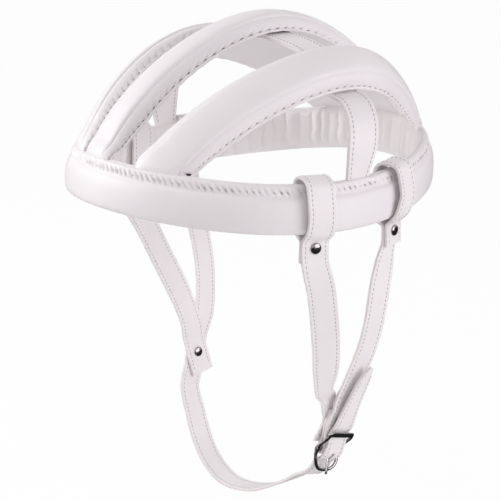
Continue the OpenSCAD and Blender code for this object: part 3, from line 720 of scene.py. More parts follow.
def flat_strap(name, length, width, thick, across=18, rim=0.4):
    """A strap of leather lying flat: x along it from 0, y and z centred on its middle."""
    strap = flat_sheet(name, int(length / MESH_STEP), across)
    flat = points_of(strap)
    move_points(strap, rows(flat[:, 0] * length, (flat[:, 1] - 0.5) * width, -thick / 2))
    edit(strap, "FACE")
    bpy.ops.mesh.extrude_region_move(TRANSFORM_OT_translate={"value": (0, 0, thick * MM)})
    bpy.ops.mesh.select_all(action="SELECT")
    bpy.ops.mesh.normals_make_consistent(inside=False)
    leave_edit()

    def on_rim(edge):
        a, b = (v.co / MM for v in edge.verts)
        lies_flat = abs(a.z - b.z) < 0.01
        at_side = min(abs(a.y), abs(b.y)) > width / 2 - 0.01
        at_end = max(a.x, b.x) < 0.01 or min(a.x, b.x) > length - 0.01
        return lies_flat and (at_side or at_end)

    edit(strap, "EDGE", on_rim)
    bpy.ops.mesh.bevel(offset=rim * MM, segments=2, affect="EDGES")
    leave_edit()
    return strap


def colour_rim(strap, face_material, rim_material):
    """The faces that look sideways on the flat strap get the cut leather's material."""
    coated(strap, face_material, rim_material)
    for face in strap.data.polygons:
        face.material_index = int(abs(face.normal.z) < 0.4)
    return strap


# %% Line the strips
LIP_WAVE, LIP_WAVES = 0.15, 44


def line_strip(name, line, node):
    lip = flat_strap(name, STRIP_LENGTH, STRIP_WIDTH + 0.8, STRIP_LINING, across=16, rim=0.5)
    colour_rim(lip, strap_leather, white_leather)

    def shape(x, y, z):
        x = x / STRIP_LENGTH
        wave = LIP_WAVE * np.sin(2 * math.pi * x * LIP_WAVES) * eased((np.abs(y) - 12.5) / 2)
        middle = STRIP_LINING / 2 - STRIP_THICKNESS
        out_tab = -2.0 + z * 0.8 / STRIP_LINING
        return strip_place(line, strip_s(x), y + 0.2 * wave, middle + z + wave,
                           y * TAB_SHARE, out_tab)

    smooth(bent(lip, shape), 50)
    return settle(lip, "headgear", "lining_leather", node)


for side, line, _ in STRIPS:
    line_strip(f"{side}_strip_lip", line, f"{side}_strip_lining")

# %% [markdown]
# Slanting whip stitches close the seam between the cover and the lip along both edges of each
# strip. Each stitch sinks into a notch of the leather. Its thread is coloured nearly black, partly
# the waxed thread's own colour and partly painted shade of the notch, and a thin cord of the same
# colour along the bottom of the seam is painted shade of the groove between the stitches.

# %% Sew the strips' seams
# Both are places on the strip's profile: how far across, and how far out of the crown line.
STITCH_AT, SEAM_SHADE_AT = (12.95, -7.8), (13.4, -8.9)


def sew_strip(name, line):
    pieces = []
    for side in (-1, 1):
        row = stitch_row(f"{name}_{side}", SEAM_START, STRIP_LENGTH - 2 * SEAM_START, SEAM_PITCH,
                         0, 0, length=3.3, thick=0.9, slant=-SEAM_SLANT * side)
        # The run is a thin dark cord along the seam's bottom: painted shade of the groove, not
        # thread.
        run = flat_strap(f"{name}_run_{side}", STRIP_LENGTH, 0.9, 0.7, across=2, rim=0.2)

        def on_seam(x, y, z, side=side):
            t = side * y
            return strip_place(line, strip_s(x / STRIP_LENGTH),
                               side * (STITCH_AT[0] + 0.25 * t + 0.9 * z),
                               STITCH_AT[1] - 0.95 * t + 0.35 * z,
                               side * 13.0 * TAB_SHARE, -1.0 + 0 * t)

        def seam_shade_cord_shape(x, y, z, side=side):
            return strip_place(line, strip_s(x / STRIP_LENGTH), side * SEAM_SHADE_AT[0] + y,
                               SEAM_SHADE_AT[1] + z, side * 12.6 * TAB_SHARE, -1.2 + 0 * y)

        pieces += [bent(row, on_seam), bent(run, seam_shade_cord_shape)]
    seam = join(pieces, name)
    smooth(coated(seam, seam_thread_and_shade), 80)
    return settle(seam, "headgear", "white_leather")


for side, line, _ in STRIPS:
    sew_strip(f"{side}_strip_stitches", line)

# %% [markdown]
# ## Ribbons of leather in space
# The cross strap and the harness are flat straps that follow a path. Each place on the path has a
# point, a direction across the strap and a share of its width. A smooth curve goes through them,
# and the strap's own length is measured along that curve, so the stitches keep their pitch round
# every bend.

# %% Bend a flat strap along a path
STRAP_THICK, HOLE_WIDTH, SLOT_WIDTH, CUTTER_DEPTH = 1.8, 2.6, 2.4, 6
SEWN_INSET, SEWN_PITCH, SEWN_FROM, SEWN_SUNK, GROOVE_DEPTH = 2.2, 2.5, 2, 0.07, 0.14
ROUTE_SAMPLES = 4000


class Route:
    """A strap's path, measured along its middle."""

    def __init__(self, places):
        x = np.linspace(0, 1, ROUTE_SAMPLES)
        centre = [p[0] for p in places]
        self.point = through(centre, x)
        along = unit(through(centre, np.minimum(x + 0.002, 1))
                     - through(centre, np.maximum(x - 0.002, 0)))
        across = through([p[1] for p in places], x)
        across = unit(across - np.sum(across * along, axis=1, keepdims=True) * along)
        self.out = unit(np.cross(across, along))
        self.across = across * through([p[2] for p in places], x)[:, None]
        step = np.linalg.norm(np.diff(self.point, axis=0), axis=1)
        self.run = np.concatenate([[0], np.cumsum(step)])
        self.count = len(places)
        self.length = float(self.run[-1])

    def reach(self, place):
        """Length along the strap to a place of its list, which may lie between two."""
        return float(np.interp(place / (self.count - 1), np.linspace(0, 1, len(self.run)), self.run))

    def at(self, table, x):
        return np.stack([np.interp(x, self.run, table[:, k]) for k in range(3)], axis=1)

    def shape(self, x, y, z):
        return (self.at(self.point, x) + self.at(self.across, x) * y[:, None]
                + self.at(self.out, x) * z[:, None])


def groove(strap, width):
    """Presses the lines of the two stitch rows into both faces of a flat strap."""
    flat = points_of(strap)
    line = np.exp(-((np.abs(flat[:, 1]) - (width / 2 - SEWN_INSET)) / 0.6) ** 2)
    surface = np.abs(flat[:, 2]) > STRAP_THICK / 2 - 0.05
    flat[:, 2] -= np.sign(flat[:, 2]) * GROOVE_DEPTH * line * surface
    return move_points(strap, flat)


def cut_away(strap, cutter):
    finish_with(strap, "BOOLEAN", object=cutter, operation="DIFFERENCE", solver="EXACT")
    alone(cutter)
    bpy.ops.object.delete()


def punch(strap, x):
    """Punches a round hole in the middle of a flat strap."""
    cut_away(strap, made("punch", bpy.ops.mesh.primitive_cylinder_add, vertices=24,
                         radius=HOLE_WIDTH / 2 * MM, depth=CUTTER_DEPTH * MM,
                         location=(x * MM, 0, 0)))


def slot(strap, start, end):
    """Cuts a slot along the middle of a flat strap."""
    cut_away(strap, made("chisel", bpy.ops.mesh.primitive_cube_add, size=MM,
                         location=((start + end) / 2 * MM, 0, 0),
                         scale=(end - start, SLOT_WIDTH, CUTTER_DEPTH)))


def on_both_faces(row):
    """Repeats a row of stitches at the strap's other edge and on its other face."""
    finish_with(row, "MIRROR", use_axis=(False, True, True), use_mirror_merge=False)
    return outward_faces(row, 0.001)


def sewn_strap(name, route, width, body, node, holes=(), slots=()):
    """A flat strap with two rows of stitches on both faces, bent along its route."""
    strap = flat_strap(name, route.length, width, STRAP_THICK)
    for x in holes:
        punch(strap, x)
    for start, end in slots:
        slot(strap, start, end)
    colour_rim(strap, strap_leather, raw_edge)
    groove(strap, width)
    row = on_both_faces(stitch_row(
        f"{name}_stitches", SEWN_FROM, route.length - 2 * SEWN_FROM, SEWN_PITCH,
        width / 2 - SEWN_INSET, STRAP_THICK / 2 - SEWN_SUNK, length=1.65, thick=0.5))
    smooth(bent(strap, route.shape), 50)
    smooth(coated(bent(row, route.shape), thread), 80)
    print(f"{name}: {route.length:.0f} mm long")
    settle(strap, body, "strap_leather", node)
    settle(row, body, "strap_leather")


# %% [markdown]
# ## The cross strap
# It runs from ear to ear under the three strips, and both its ends are sewn into the band's
# pocket. It is two plies of leather back to back.

# %% Make the cross strap
CROSS_WIDTH, CROSS_PLY, CROSS_BULGE = 20.0, 1.1, 3.5
CROSS_GAP = CROSS_PLY + 1.6
CROSS_TAPER, CROSS_SEWN_FROM, CROSS_SEWN_PITCH, CROSS_SEWN_INSET = 0.74, 8, 2.7, 2.4
cross_inset = (POCKET_OUTSIDE + POCKET_INSIDE) / 2 + 0.3
cross_foot = BAND_WIDTH - cross_inset


def one(function, *values):
    """Calls a function of columns for a single place."""
    return function(*(np.array([float(v)]) for v in values))[0]


def under(line, w, more=0.0):
    """A place for the cross strap under the top of a strip, w mm to the side of its middle."""
    return one(lambda *place: strip_place(line, *place),
               0.5, w, -STRIP_THICKNESS - CROSS_GAP - more, w, 0)


cross_side = [one(band_place, 90, cross_inset, h)
              for h in (TAB_FOOT, BAND_HEIGHT - 4, BAND_HEIGHT + 0.5)]
cross_side += [np.array(p) for p in (
    (cross_foot + CROSS_BULGE * 0.8, 1, BAND_HEIGHT + 11),
    (cross_foot + CROSS_BULGE * 0.6, 2.5, BAND_HEIGHT + 20),
    (cross_foot - 2.5, 5, BAND_HEIGHT + 29), (cross_foot - 10.5, 7, BAND_HEIGHT + 35.5))]
cross_side += [under(left_line, STRIP_WIDTH / 2 - 1), under(left_line, 0),
               under(left_line, -STRIP_WIDTH / 2 - 2, 0.5)]
cross_middle = [under(centre_line, w * (STRIP_WIDTH / 2 + 1)) for w in (1, 0, -1)]
cross_places = cross_side + cross_middle + [p * np.array([-1, 1, 1]) for p in cross_side[::-1]]
tapered = [i < 3 or i > len(cross_places) - 4 for i in range(len(cross_places))]
cross_route = Route([(p, (0, 1, 0), CROSS_TAPER if t else 1)
                     for p, t in zip(cross_places, tapered)])


def lifted(route, by):
    """The same route, a little way out of its face."""
    return lambda x, y, z: route.shape(x, y, z + by)


for name, side, node in (("cross_strap_outside", 1, "cross_strap_face"),
                         ("cross_strap_inside", -1, "cross_strap_backing")):
    ply = flat_strap(name, cross_route.length, CROSS_WIDTH, CROSS_PLY, rim=0.3)
    colour_rim(ply, strap_leather if side > 0 else lining_leather, raw_edge)
    smooth(bent(ply, lifted(cross_route, side * CROSS_PLY / 2)), 50)
    settle(ply, "headgear", "strap_leather" if side > 0 else "lining_leather", node)

cross_thread = on_both_faces(stitch_row(
    "cross_strap_stitches", CROSS_SEWN_FROM, cross_route.length - 2 * CROSS_SEWN_FROM,
    CROSS_SEWN_PITCH, CROSS_WIDTH / 2 - CROSS_SEWN_INSET, CROSS_PLY + 0.05,
    length=1.9, thick=0.6))
smooth(coated(bent(cross_thread, cross_route.shape), thread), 80)
settle(cross_thread, "headgear", "strap_leather")

# %% [markdown]
# ## The loops of the harness
# Each strap of the harness goes up outside the band, over its top and down inside, and is riveted
# to itself just below. The two plies lie flat at the rivet. Above it the outer ply climbs to the
# outside of the band, and the inner ply comes down from the inside.

# %% Places on a loop
PLY_GAP, TURNING_GAP = 0.1, 0.3
SLACK_OUT, SLACK_TOP, SLACK_IN = 2.5, 2.6, 2.4
LOOP_DROP, LOOP_TAIL, RIVET_INSET, RIVET_CAP = 8.0, 8.5, 4.5, 6.4
FRONT_WIDTH, REAR_WIDTH = 16.5, 15.0
half = STRAP_THICK / 2
outer_ply = RIVET_INSET - half - PLY_GAP
inner_ply = RIVET_INSET + half + PLY_GAP
loop_out = -SLACK_OUT - half
loop_in = BAND_THICKNESS + LINING_FOLD + SLACK_IN + half
loop_top = BAND_HEIGHT + SLACK_TOP + half
FLAT_TOP = -2.6
cap_top = RIVET_CAP / 2 + 0.1 - LOOP_DROP
back_top = cap_top - 0.8


def tangent(angle):
    step = one(band_place, angle + 1, 0, 0) - one(band_place, angle - 1, 0, 0)
    return unit(step) * (1 if angle > 0 else -1)


def outward(angle):
    return unit(np.cross(tangent(angle), (0, 0, 1))) * (1 if angle > 0 else -1)


def upward(angle):
    direction = np.cross(tangent(angle), outward(angle))
    return direction * np.sign(direction[2])


def at_rivet(low, c, n, u):
    """A place from a loop's rivet: c to the rear, n outwards and u up."""
    return (one(band_place, low, RIVET_INSET, -LOOP_DROP)
            + tangent(low) * c + outward(low) * n + upward(low) * u)


def outer_at(share, f, height):
    return share, outer_ply * (1 - f) + loop_out * f, height


def inner_at(share, f, height):
    return share, inner_ply * (1 - f) + loop_in * f, height


outer_climb = [
    outer_at(0, 0, -LOOP_DROP), outer_at(0, 0, cap_top), outer_at(0, 0.03, cap_top + 0.9),
    outer_at(0, 0.115, cap_top + 1.7), outer_at(0, 0.37, cap_top + 3.2),
    outer_at(0.08, 0.74, 1.4), outer_at(0.3, 0.95, 5.6),
    (0.7, loop_out, BAND_HEIGHT * 0.46), (0.95, loop_out + BAND_LEAN * 0.6, CREASE_HEIGHT),
    (1, 0.9, loop_top - 2.4), (1, 5.5, loop_top)]
inner_drop = [
    (1, 12, loop_top - 0.1), (1, loop_in - 0.3, loop_top - 5), (0.7, loop_in, BAND_HEIGHT * 0.46),
    inner_at(0.3, 0.97, 5.5), inner_at(0.06, 0.81, 0.5), inner_at(0, 0.57, back_top + 4.1),
    inner_at(0, 0.32, back_top + 3), inner_at(0, 0.118, back_top + 2),
    inner_at(0, 0.027, back_top + 1.1), inner_at(0, 0, back_top), inner_at(0, 0, -LOOP_DROP)]


def on_loop(place, low, top):
    """The place on the band at an angle between those of the rivet and of the loop's top."""
    share, inset, height = place
    if height < FLAT_TOP:
        return at_rivet(low, 0, RIVET_INSET - inset, height + LOOP_DROP), tangent(low), 1
    angle = low + (top - low) * share
    along, point = tangent(angle), one(band_place, angle, inset, height)
    slip = np.dot(point - one(band_place, angle, RIVET_INSET, -LOOP_DROP), along)
    return point - slip * along, along, 1


def loop(low, top):
    return [on_loop(p, low, top) for p in outer_climb + inner_drop]


def tail(side_at, low):
    """The short end of a loop, below its rivet."""
    return [on_loop(side_at(0, 0, -LOOP_DROP - d), low, low) for d in (LOOP_TAIL, 3)]


def hung(places, across):
    """Places that share one direction across the strap, at its full width."""
    return [(np.asarray(p, float), across, 1) for p in places]


def hanging(start, end, *swings):
    """Free places between two points: share of the way, swing left and swing to the rear."""
    reach = np.linalg.norm(end - start)
    return [start * (1 - t) + end * t + reach * np.array([left, rear, 0])
            for t, left, rear in swings]


level = (0, 1, 0)


def down_from_band(side_at, low, top, leaving, end, swings, across=level):
    """How every harness strap starts: tail, loop, out of the rivet, and freely down to a point."""
    way = loop(low, top) if side_at == outer_at else loop(low, top)[::-1]
    return (tail(side_at, low) + way
            + hung([at_rivet(low, c, n, u) for (c, n), u in zip(leaving, (-6, -12))], tangent(low))
            + hung(hanging(at_rivet(low, 0, 0, 0), end, *swings), across))


# %% [markdown]
# ## The two joints
# On the left the straps meet at the buckle. Its own axes run up the strap, across it and out of
# it. The right joint has axes of the same kind, and no buckle.

# %% Frames of the joints
# Across and back as shares of the band's half width and length, and down in mm.
BUCKLE_AT = np.array([0.7164 * BAND_WIDTH, -0.0177 * BAND_LENGTH, -143.0])
RIGHT_AT = np.array([-0.8557 * BAND_WIDTH, 0.1504 * BAND_LENGTH, -132.0])


def square_to(direction, axis):
    direction = np.array(direction, float)
    return unit(direction - np.dot(direction, axis) * axis)


buckle_up = unit(np.array([0.3, 0.3, 0.9]))
buckle_out = square_to((0.995, 0.105, 0), buckle_up)
buckle_across = np.cross(buckle_up, buckle_out)
right_up = unit(np.array([-0.14, 0.29, 0.95]))
right_out = square_to((-1, 0, 0), right_up)
right_across = np.cross(right_up, right_out)


def in_buckle(a, c, n):
    """A place from the middle of the bar: up the strap, across it and out of it."""
    return BUCKLE_AT + buckle_up * a + buckle_across * c + buckle_out * n


def in_right(a, c, n):
    return RIGHT_AT + right_up * a + right_across * c + right_out * n


BAR_RADIUS, BUCKLE_REACH = 1.1, 12.0
fold = BAR_RADIUS + 0.12 + half
over_bar = fold + STRAP_THICK + 0.3
ply_1 = -half
ply_2 = ply_1 - STRAP_THICK - 2 * PLY_GAP
ply_3 = ply_2 - STRAP_THICK - TURNING_GAP
JOINT_A, JOINT_C = 21.0, -4.0
diagonal = fold * 0.71

# %% [markdown]
# ## The harness straps
# The left rear strap ends in the fold round the buckle's bar, and its end comes back up to the
# joint rivet. The chin strap is the longest: from its loop on the right side, under the chin,
# over the bar of the buckle and up to its tapered tip.

# %% Rear strap and chin strap
LEFT_REAR, LEFT_REAR_TOP, RIGHT_REAR = 104.0, 107.5, -99.5
left_rear = Route(
    down_from_band(outer_at, LEFT_REAR, LEFT_REAR_TOP, ((-0.4, -1.15), (-1.9, -1.9)),
                   in_buckle(JOINT_A, JOINT_C, ply_1),
                   ((0.265, 0.034, -0.007), (0.463, 0.042, 0.015), (0.616, 0.038, 0.023),
                    (0.769, 0.03, 0.005)))
    + hung([in_buckle(*p) for p in (
        (33, -6, -1.8), (27, -4.8, ply_1), (JOINT_A, JOINT_C, ply_1), (16, -3, ply_1),
        (12, -1.2, ply_1), (9, -0.4, ply_1 + 0.05), (6.5, 0, -0.2), (4, 0, 1),
        (2, 0, fold - 0.25), (0, 0, fold), (-diagonal, 0, diagonal), (-fold, 0, 0),
        (-diagonal, 0, -diagonal), (0, 0, -fold), (3, 0, -fold - 0.2), (6, 0, ply_2 + 0.15),
        (9, -0.2, ply_2), (12, -1.2, ply_2), (16, -3, ply_2), (JOINT_A, JOINT_C, ply_2),
        (25.5, -4.6, ply_2))], buckle_across))

CHIN = -205.0


def under_chin(across, back, up):
    return (RIGHT_AT[0] * (1 - across) + BUCKLE_AT[0] * across, back * BAND_LENGTH,
            CHIN * (1 - up) + RIGHT_AT[2] * up)


chin = Route(
    down_from_band(outer_at, RIGHT_REAR, RIGHT_REAR, ((0.3, -1.1), (1.5, -1.3)), RIGHT_AT,
                   ((0.242, -0.019, 0.053), (0.425, -0.043, 0.104), (0.609, -0.034, 0.113),
                    (0.792, -0.016, 0.082)))
    + hung([in_right(12, 0, 0), in_right(0, 0, 0), in_right(-12, 0, 0), in_right(-24, 0, 0.3)],
           -right_across)
    + hung([under_chin(*p) for p in (
        (0.057, 0.088, 0.479), (0.108, 0.088, 0.247), (0.184, 0.088, 0.082), (0.291, 0.088, 0),
        (0.424, 0.08, 0.041), (0.544, 0.062, 0.137), (0.671, 0.035, 0.288),
        (0.778, 0, 0.425), (0.861, -0.035, 0.541))], level)
    + hung([in_buckle(*p) for p in (
        (-21, 2.5, -5.5), (-16, 0.6, -1.6), (-BUCKLE_REACH, 0, 0), (-8, 0, 0.5), (-3.5, 0, 3.3),
        (0, 0, over_bar), (6, 0, 3.1), (BUCKLE_REACH, 0, 1.2))], buckle_across)
    + [(in_buckle(*p), buckle_across, share) for *p, share in (
        (17, -0.7, 2.6, 0.98), (23, -2.2, 3.2, 0.9), (33, -3.2, 3, 0.78), (42, -3.6, 2.8, 0.67),
        (51, -3.4, 2.6, 0.5), (57.5, -3, 2.5, 0.1))])

# The tongue goes through a slot in the fold, and through a hole in the chin strap. Three more
# holes below the buckle let the strap be drawn tighter.
fold_slot = (left_rear.reach(left_rear.count - 15.6), left_rear.reach(left_rear.count - 7.2))
tongue_hole = (chin.reach(chin.count - 11.3), chin.reach(chin.count - 9))
spare_holes = [chin.reach(chin.count - 1 - back) for back in (13, 14.2, 15)]

sewn_strap("left_rear_leather", left_rear, REAR_WIDTH, "harness", "left_rear_strap",
           slots=[fold_slot])
sewn_strap("chin_leather", chin, REAR_WIDTH, "harness", "chin_strap",
           holes=spare_holes, slots=[tongue_hole])

# %% [markdown]
# The two front straps are a little wider. Each loops round the band with its tail inside, and is
# riveted behind the rear strap at the joint, where it can turn.

# %% Front straps
LEFT_FRONT, RIGHT_FRONT = 73.0, -76.0
right_ply = -STRAP_THICK - TURNING_GAP


def turned(azimuth):
    return np.array([cosine(azimuth), sine(azimuth), 0])


left_front_end = in_buckle(JOINT_A, -5, ply_3)
left_front = Route(
    down_from_band(inner_at, LEFT_FRONT, LEFT_FRONT, ((0.25, 1.1), (1.2, 1.6)), left_front_end,
                   ((0.225, 0.054, -0.029), (0.389, 0.064, -0.038), (0.553, 0.066, -0.048)),
                   turned(72))
    + [(*hanging(at_rivet(LEFT_FRONT, 0, 0, 0), left_front_end, swing), turned(azimuth), share)
       for swing, azimuth, share in (
           ((0.699, 0.06, -0.062), 74, 0.93), ((0.83, 0.029, -0.062), 84, 0.7))]
    + [(in_buckle(*p), buckle_across, share) for *p, share in (
        (31, -15.2, ply_3 - 1.2, 0.66), (26, -11, ply_3 - 0.4, 0.7), (JOINT_A, -7, ply_3, 0.68),
        (15, -4.8, ply_3, 0.64), (9, -4.4, ply_3, 0.62), (2, -4.5, ply_3, 0.64))])
right_front = Route(
    down_from_band(inner_at, RIGHT_FRONT, RIGHT_FRONT, ((0.5, 1.1), (2.6, 1.5)),
                   in_right(0, 0, right_ply),
                   ((0.245, -0.047, 0.021), (0.436, -0.039, 0.034), (0.644, -0.029, 0.049)))
    + hung([in_right(20, 10.5, -3.4), in_right(9, 4.6, right_ply), in_right(0, 0, right_ply),
            in_right(-13, -7, right_ply)], -right_across))

for body, route in (("left_front", left_front), ("right_front", right_front)):
    sewn_strap(f"{body}_leather", route, FRONT_WIDTH, body, f"{body}_strap")

# %% [markdown]
# ## Rivets
# A rivet is turned metal: a thin rim, a low dome, a post and a plain disc behind. It is made as on
# a lathe: a circle is extruded and resized ring by ring up its profile, and closed at the middle.

# %% Turn a rivet
def lathe(name, profile, segments=40):
    """Stacks rings of (radius, height) into one closed turned piece."""
    radius, height = profile[0]
    piece = made(name, bpy.ops.mesh.primitive_circle_add, vertices=segments,
                 radius=radius * MM, fill_type="NGON", location=(0, 0, height * MM))
    edit(piece, "FACE")
    for next_radius, next_height in profile[1:]:
        bpy.ops.mesh.extrude_region_move(
            TRANSFORM_OT_translate={"value": (0, 0, (next_height - height) * MM)})
        share = next_radius / radius
        bpy.ops.transform.resize(value=(share, share, 1))
        radius, height = next_radius, next_height
    leave_edit()
    return outward_faces(piece, 0.001)


RIVET_CAP_HEIGHT, RIVET_SHANK, RIVET_GAP = 1.3, 2.6, 0.15


def rivet_profile(stack):
    seat = stack / 2 + RIVET_GAP
    back_radius = RIVET_CAP / 2 - 0.9
    cap = RIVET_CAP / 2
    dome = [(cap * math.cos(t) ** 0.9, seat + 0.25 + (RIVET_CAP_HEIGHT - 0.25) * math.sin(t))
            for t in np.linspace(0.12, 1.5, 9)]
    return ([(0.4, -seat - 0.55), (back_radius - 0.5, -seat - 0.62), (back_radius, -seat - 0.45),
             (back_radius, -seat - 0.05), (RIVET_SHANK / 2, -seat), (RIVET_SHANK / 2, seat),
             (cap - 0.1, seat), (cap, seat + 0.12)] + dome + [(0.05, seat + RIVET_CAP_HEIGHT)])


def set_rivet(name, at, out, stack, body, node):
    rivet = lathe(name, rivet_profile(stack))
    turn = Vector(out).to_track_quat("Z", "Y").to_matrix().to_4x4()
    rivet.matrix_world = Matrix.Translation(Vector(np.asarray(at) * MM)) @ turn
    apply_place(rivet)
    smooth(coated(rivet, dark_chrome), 35)
    return settle(rivet, body, "dark_chrome", node)


loop_stack = 2 * STRAP_THICK + 2 * PLY_GAP
for name, low, body in (("left_rear", LEFT_REAR, "harness"), ("right_rear", RIGHT_REAR, "harness"),
                        ("left_front", LEFT_FRONT, "left_front"),
                        ("right_front", RIGHT_FRONT, "right_front")):
    set_rivet(f"{name}_cap", one(band_place, low, RIVET_INSET, -LOOP_DROP), outward(low),
              loop_stack, body, f"{name}_rivet")
joint_top, joint_bottom = ply_1 + half, ply_3 - half
set_rivet("left_joint_cap", in_buckle(JOINT_A, JOINT_C, (joint_top + joint_bottom) / 2),
          buckle_out, joint_top - joint_bottom, "harness", "left_joint_rivet")
set_rivet("right_joint_cap", in_right(0, 0, right_ply / 2), -right_out,
          2 * STRAP_THICK + TURNING_GAP, "harness", "right_joint_rivet")

# %% [markdown]
# ## The buckle
# The frame is one bent rod: a rounded end, two sides that dip to the bar, and a flat straight
# end. A torus already has the right mesh, a closed tube, so its rings are moved to the places of
# the rod. The bar is turned like a rivet, and the tongue is a wire that ends in an eye round it.

# %% Bend the buckle frame
# The rod's thickness and the share of it that its section keeps, the width of the flat end, how
# far both ends arch up, the play beside the strap, the cut of the corners, how square the round
# end is, and how much the rod swells where the bar enters it.
ROD, SLIM, END_WIDTH, ARCH, PLAY = 2.2, 0.9, 3.8, 3.95, 0.8
CORNER, SQUARENESS, BOSS = 1.3, 0.8, 0.8
rod_offset = REAR_WIDTH / 2 + PLAY + ROD / 2
bend_centre = rod_offset - BUCKLE_REACH
side_places = [(a, rod_offset) for a in
               (BUCKLE_REACH - CORNER, 7, 4.5, 3, 2, 1, 0, -1, -2, bend_centre)]
bend_places = [(bend_centre - rod_offset * math.sin(t) ** SQUARENESS,
                rod_offset * math.copysign(abs(math.cos(t)) ** SQUARENESS, math.cos(t)))
               for t in np.radians(np.arange(15, 166, 15))]
end_places = [(BUCKLE_REACH, c) for c in (CORNER - rod_offset, 0, rod_offset - CORNER)]
rod_line = np.array(side_places + bend_places
                    + [(a, -c) for a, c in side_places[::-1]] + end_places)


def closed_through(points, x):
    """A smooth closed curve through a ring of points, for x from 0 to 1."""
    ring = np.concatenate([points[-2:], points, points[:3]])
    count = len(points)
    return through(ring, (2 + x * count) / (len(ring) - 1))


def rod_shape(around, tube):
    centre = closed_through(rod_line, around)
    ahead = closed_through(rod_line, (around + 0.004) % 1)
    behind = closed_through(rod_line, (around - 0.004) % 1)
    along = unit(ahead - behind)
    away = np.stack([along[:, 1], -along[:, 0]], axis=1)
    flat = eased((centre[:, 0] - BUCKLE_REACH + 1.2) / 1.2)
    wide = SLIM * mixed(ROD, END_WIDTH, flat) / 2
    high = SLIM * mixed(ROD, ROD * 0.75, flat) / 2 + BOSS * np.exp(-centre[:, 0] ** 2 / 4)
    rise = ARCH * np.sin(math.pi / 2 * np.minimum(np.abs(centre[:, 0]) / BUCKLE_REACH, 1)) ** 2
    w, h = wide * np.cos(tube), high * np.sin(tube)
    a, c, n = centre[:, 0] + away[:, 0] * w, centre[:, 1] + away[:, 1] * w, rise + h
    return in_buckle(a[:, None], c[:, None], n[:, None])


RING_RADIUS = 10
buckle = made("buckle_rod_frame", bpy.ops.mesh.primitive_torus_add, major_segments=168,
              minor_segments=16, major_radius=RING_RADIUS * MM, minor_radius=1 * MM)
ring = points_of(buckle)
around = np.arctan2(ring[:, 1], ring[:, 0]) / (2 * math.pi) % 1
tube = np.arctan2(ring[:, 2], np.hypot(ring[:, 0], ring[:, 1]) - RING_RADIUS)
move_points(buckle, rod_shape(around, tube))
outward_faces(buckle, 0.001)
smooth(coated(buckle, dark_chrome), 60)
settle(buckle, "buckle", "dark_chrome", "buckle_frame")


# %% Turn the bar and the tongue
def to_buckle(piece):
    """Puts a piece modelled round Z, with X up the strap, into the buckle's own frame."""
    turn = Matrix(np.stack([buckle_up, buckle_out, buckle_across], axis=1)).to_4x4()
    piece.matrix_world = Matrix.Translation(Vector(BUCKLE_AT * MM)) @ turn
    return apply_place(piece)


bar_half, BAR_CHAMFER = rod_offset + ROD / 2, 0.25
bar_end = [(BAR_RADIUS, bar_half - BAR_CHAMFER), (BAR_RADIUS - BAR_CHAMFER, bar_half),
           (0.3, bar_half)]
bar = lathe("buckle_bar_rod", [(radius, -height) for radius, height in bar_end[::-1]] + bar_end,
            segments=24)
smooth(coated(to_buckle(bar), dark_chrome), 35)
settle(bar, "buckle", "dark_chrome", "buckle_bar")

WIRE, EYE_GAP, TONGUE_PAST_END = 1.7, 0.06, 2.4
eye_inside = BAR_RADIUS + EYE_GAP
tongue_angle = math.atan(ARCH / BUCKLE_REACH) + math.asin(
    (ROD + WIRE + 0.1) / 2 / math.hypot(BUCKLE_REACH, ARCH))
tongue_length = BUCKLE_REACH + TONGUE_PAST_END
eye = made("tongue_eye", bpy.ops.mesh.primitive_torus_add, major_segments=40,
           minor_segments=14, major_radius=(eye_inside + WIRE / 2) * MM,
           minor_radius=WIRE / 2 * MM)
wire = lathe("tongue_wire", [(WIRE / 2, eye_inside + WIRE / 2), (WIRE / 2, 6.0)]
             + [(WIRE / 2 * share, tongue_length + past) for share, past in (
                 (0.94, -1.2), (0.86, -0.3), (0.6, 0.35), (0.15, 0.6))], segments=16)
wire.rotation_euler = (0, math.pi / 2, math.pi - tongue_angle)
apply_place(wire)
tongue = join([eye, wire], "tongue_pin")
smooth(coated(to_buckle(tongue), bright_chrome), 50)
settle(tongue, "tongue", "bright_chrome", "buckle_tongue")

# %% [markdown]
# ## Floor and light
# The photograph is a studio cut-out on white. A wide pale floor lies just under the chin strap.
# The camera sees the world plain white. Polished metal needs something dark to reflect, so the
# world that shiny surfaces see is bright above and nearly black below. The light that it gives
# the leather is soft and faintly lilac. One large lamp in front makes the brow brightest, as in
# the photograph, one at the wearer's left keeps that side pale, and a weak one lights the crown.

# %% Stage
FLOOR_Z = cad_low.z - 0.004
FLOOR_SIZE, FLOOR_COLOUR = 30, (0.93, 0.93, 0.93, 1)
FLOOR_WHITENESS, FLOOR_MIRRORED = 0.96, 0.04
SKY_COLOUR, SKY_STRENGTH = (1.0, 0.955, 0.985, 1), 0.41
MIRRORED_SKY = [(0.46, (0.05, 0.05, 0.05)), (0.62, (1, 1, 1))]


def ray_kind(tree, output):
    return add(tree, "ShaderNodeLightPath").outputs[output]


def blended(tree, factor, first, second):
    """Mixes two shaders: a factor of 0 gives the first and 1 the second."""
    choice = add(tree, "ShaderNodeMixShader")
    tree.links.new(factor, choice.inputs["Fac"])
    tree.links.new(first, choice.inputs[1])
    tree.links.new(second, choice.inputs[2])
    return choice.outputs["Shader"]


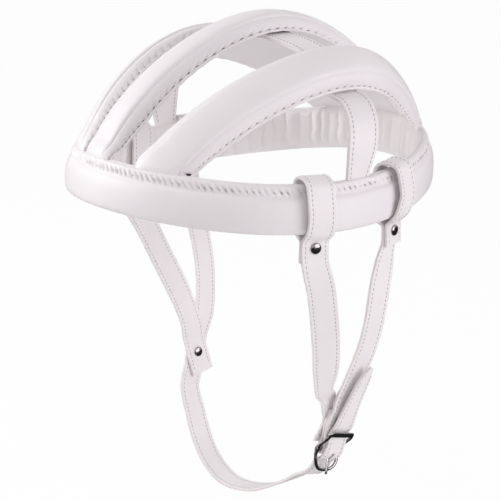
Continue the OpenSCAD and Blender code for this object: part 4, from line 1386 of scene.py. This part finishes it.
floor = made("studio_floor", bpy.ops.mesh.primitive_plane_add, size=FLOOR_SIZE,
             location=(0, 0, FLOOR_Z))
floor_material, tree, shader = new_material("studio_floor", 0.9)
shader.inputs["Base Color"].default_value = FLOOR_COLOUR
glow = add(tree, "ShaderNodeEmission", Strength=1.0)
dim = add(tree, "ShaderNodeEmission", Strength=FLOOR_MIRRORED)
whiteness = add(tree, "ShaderNodeMath", operation="MULTIPLY")
whiteness.inputs[1].default_value = FLOOR_WHITENESS
tree.links.new(ray_kind(tree, "Is Camera Ray"), whiteness.inputs[0])
surface = blended(tree, whiteness.outputs[0], shader.outputs["BSDF"], glow.outputs["Emission"])
surface = blended(tree, ray_kind(tree, "Is Glossy Ray"), surface, dim.outputs["Emission"])
tree.links.new(surface, tree.nodes["Material Output"].inputs["Surface"])
coated(floor, floor_material)
floor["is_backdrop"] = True

world = bpy.data.worlds.new("studio")
bpy.context.scene.world = world
world.use_nodes = True
tree = world.node_tree
seen = add(tree, "ShaderNodeBackground", Color=(1, 1, 1, 1), Strength=1.0)
lighting = tree.nodes["Background"]
lighting.inputs["Color"].default_value = SKY_COLOUR
lighting.inputs["Strength"].default_value = SKY_STRENGTH
mirrored = add(tree, "ShaderNodeBackground", Strength=1.0)
direction = add(tree, "ShaderNodeTexCoord")
parts = add(tree, "ShaderNodeSeparateXYZ")
above = add(tree, "ShaderNodeMath", operation="MULTIPLY_ADD")
above.inputs[1].default_value = above.inputs[2].default_value = 0.5
tree.links.new(direction.outputs["Generated"], parts.inputs[0])
tree.links.new(parts.outputs["Z"], above.inputs[0])
tree.links.new(graded(tree, above.outputs["Value"], MIRRORED_SKY), mirrored.inputs["Color"])
sky = blended(tree, ray_kind(tree, "Is Glossy Ray"), lighting.outputs["Background"],
              mirrored.outputs["Background"])
sky = blended(tree, ray_kind(tree, "Is Camera Ray"), sky, seen.outputs["Background"])
tree.links.new(sky, tree.nodes["World Output"].inputs["Surface"])


# %% Lamps
def softbox(name, azimuth, elevation, distance, size, power, colour=(1, 1, 1)):
    """A square area lamp that looks at the helmet from that side."""
    direction = seen_from(azimuth, elevation)
    bpy.ops.object.light_add(type="AREA", location=direction * distance)
    lamp = bpy.context.object
    lamp.name = name
    lamp.rotation_euler = direction.to_track_quat("Z", "Y").to_euler()
    lamp.data.size = size
    lamp.data.energy = power
    lamp.data.color = colour


softbox("key_lamp", azimuth=-40, elevation=25, distance=1.3, size=0.9, power=11.4)
softbox("fill_lamp", azimuth=112, elevation=5, distance=1.5, size=1.1, power=11.8,
        colour=(1, 0.965, 0.99))
softbox("top_lamp", azimuth=30, elevation=75, distance=1.4, size=0.9, power=2.0)
bpy.context.scene.view_settings.view_transform = "Standard"

# %% Finish
low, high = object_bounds()
print("visual box in mm:", [round(1000 * x) for x in (*low, *high)])
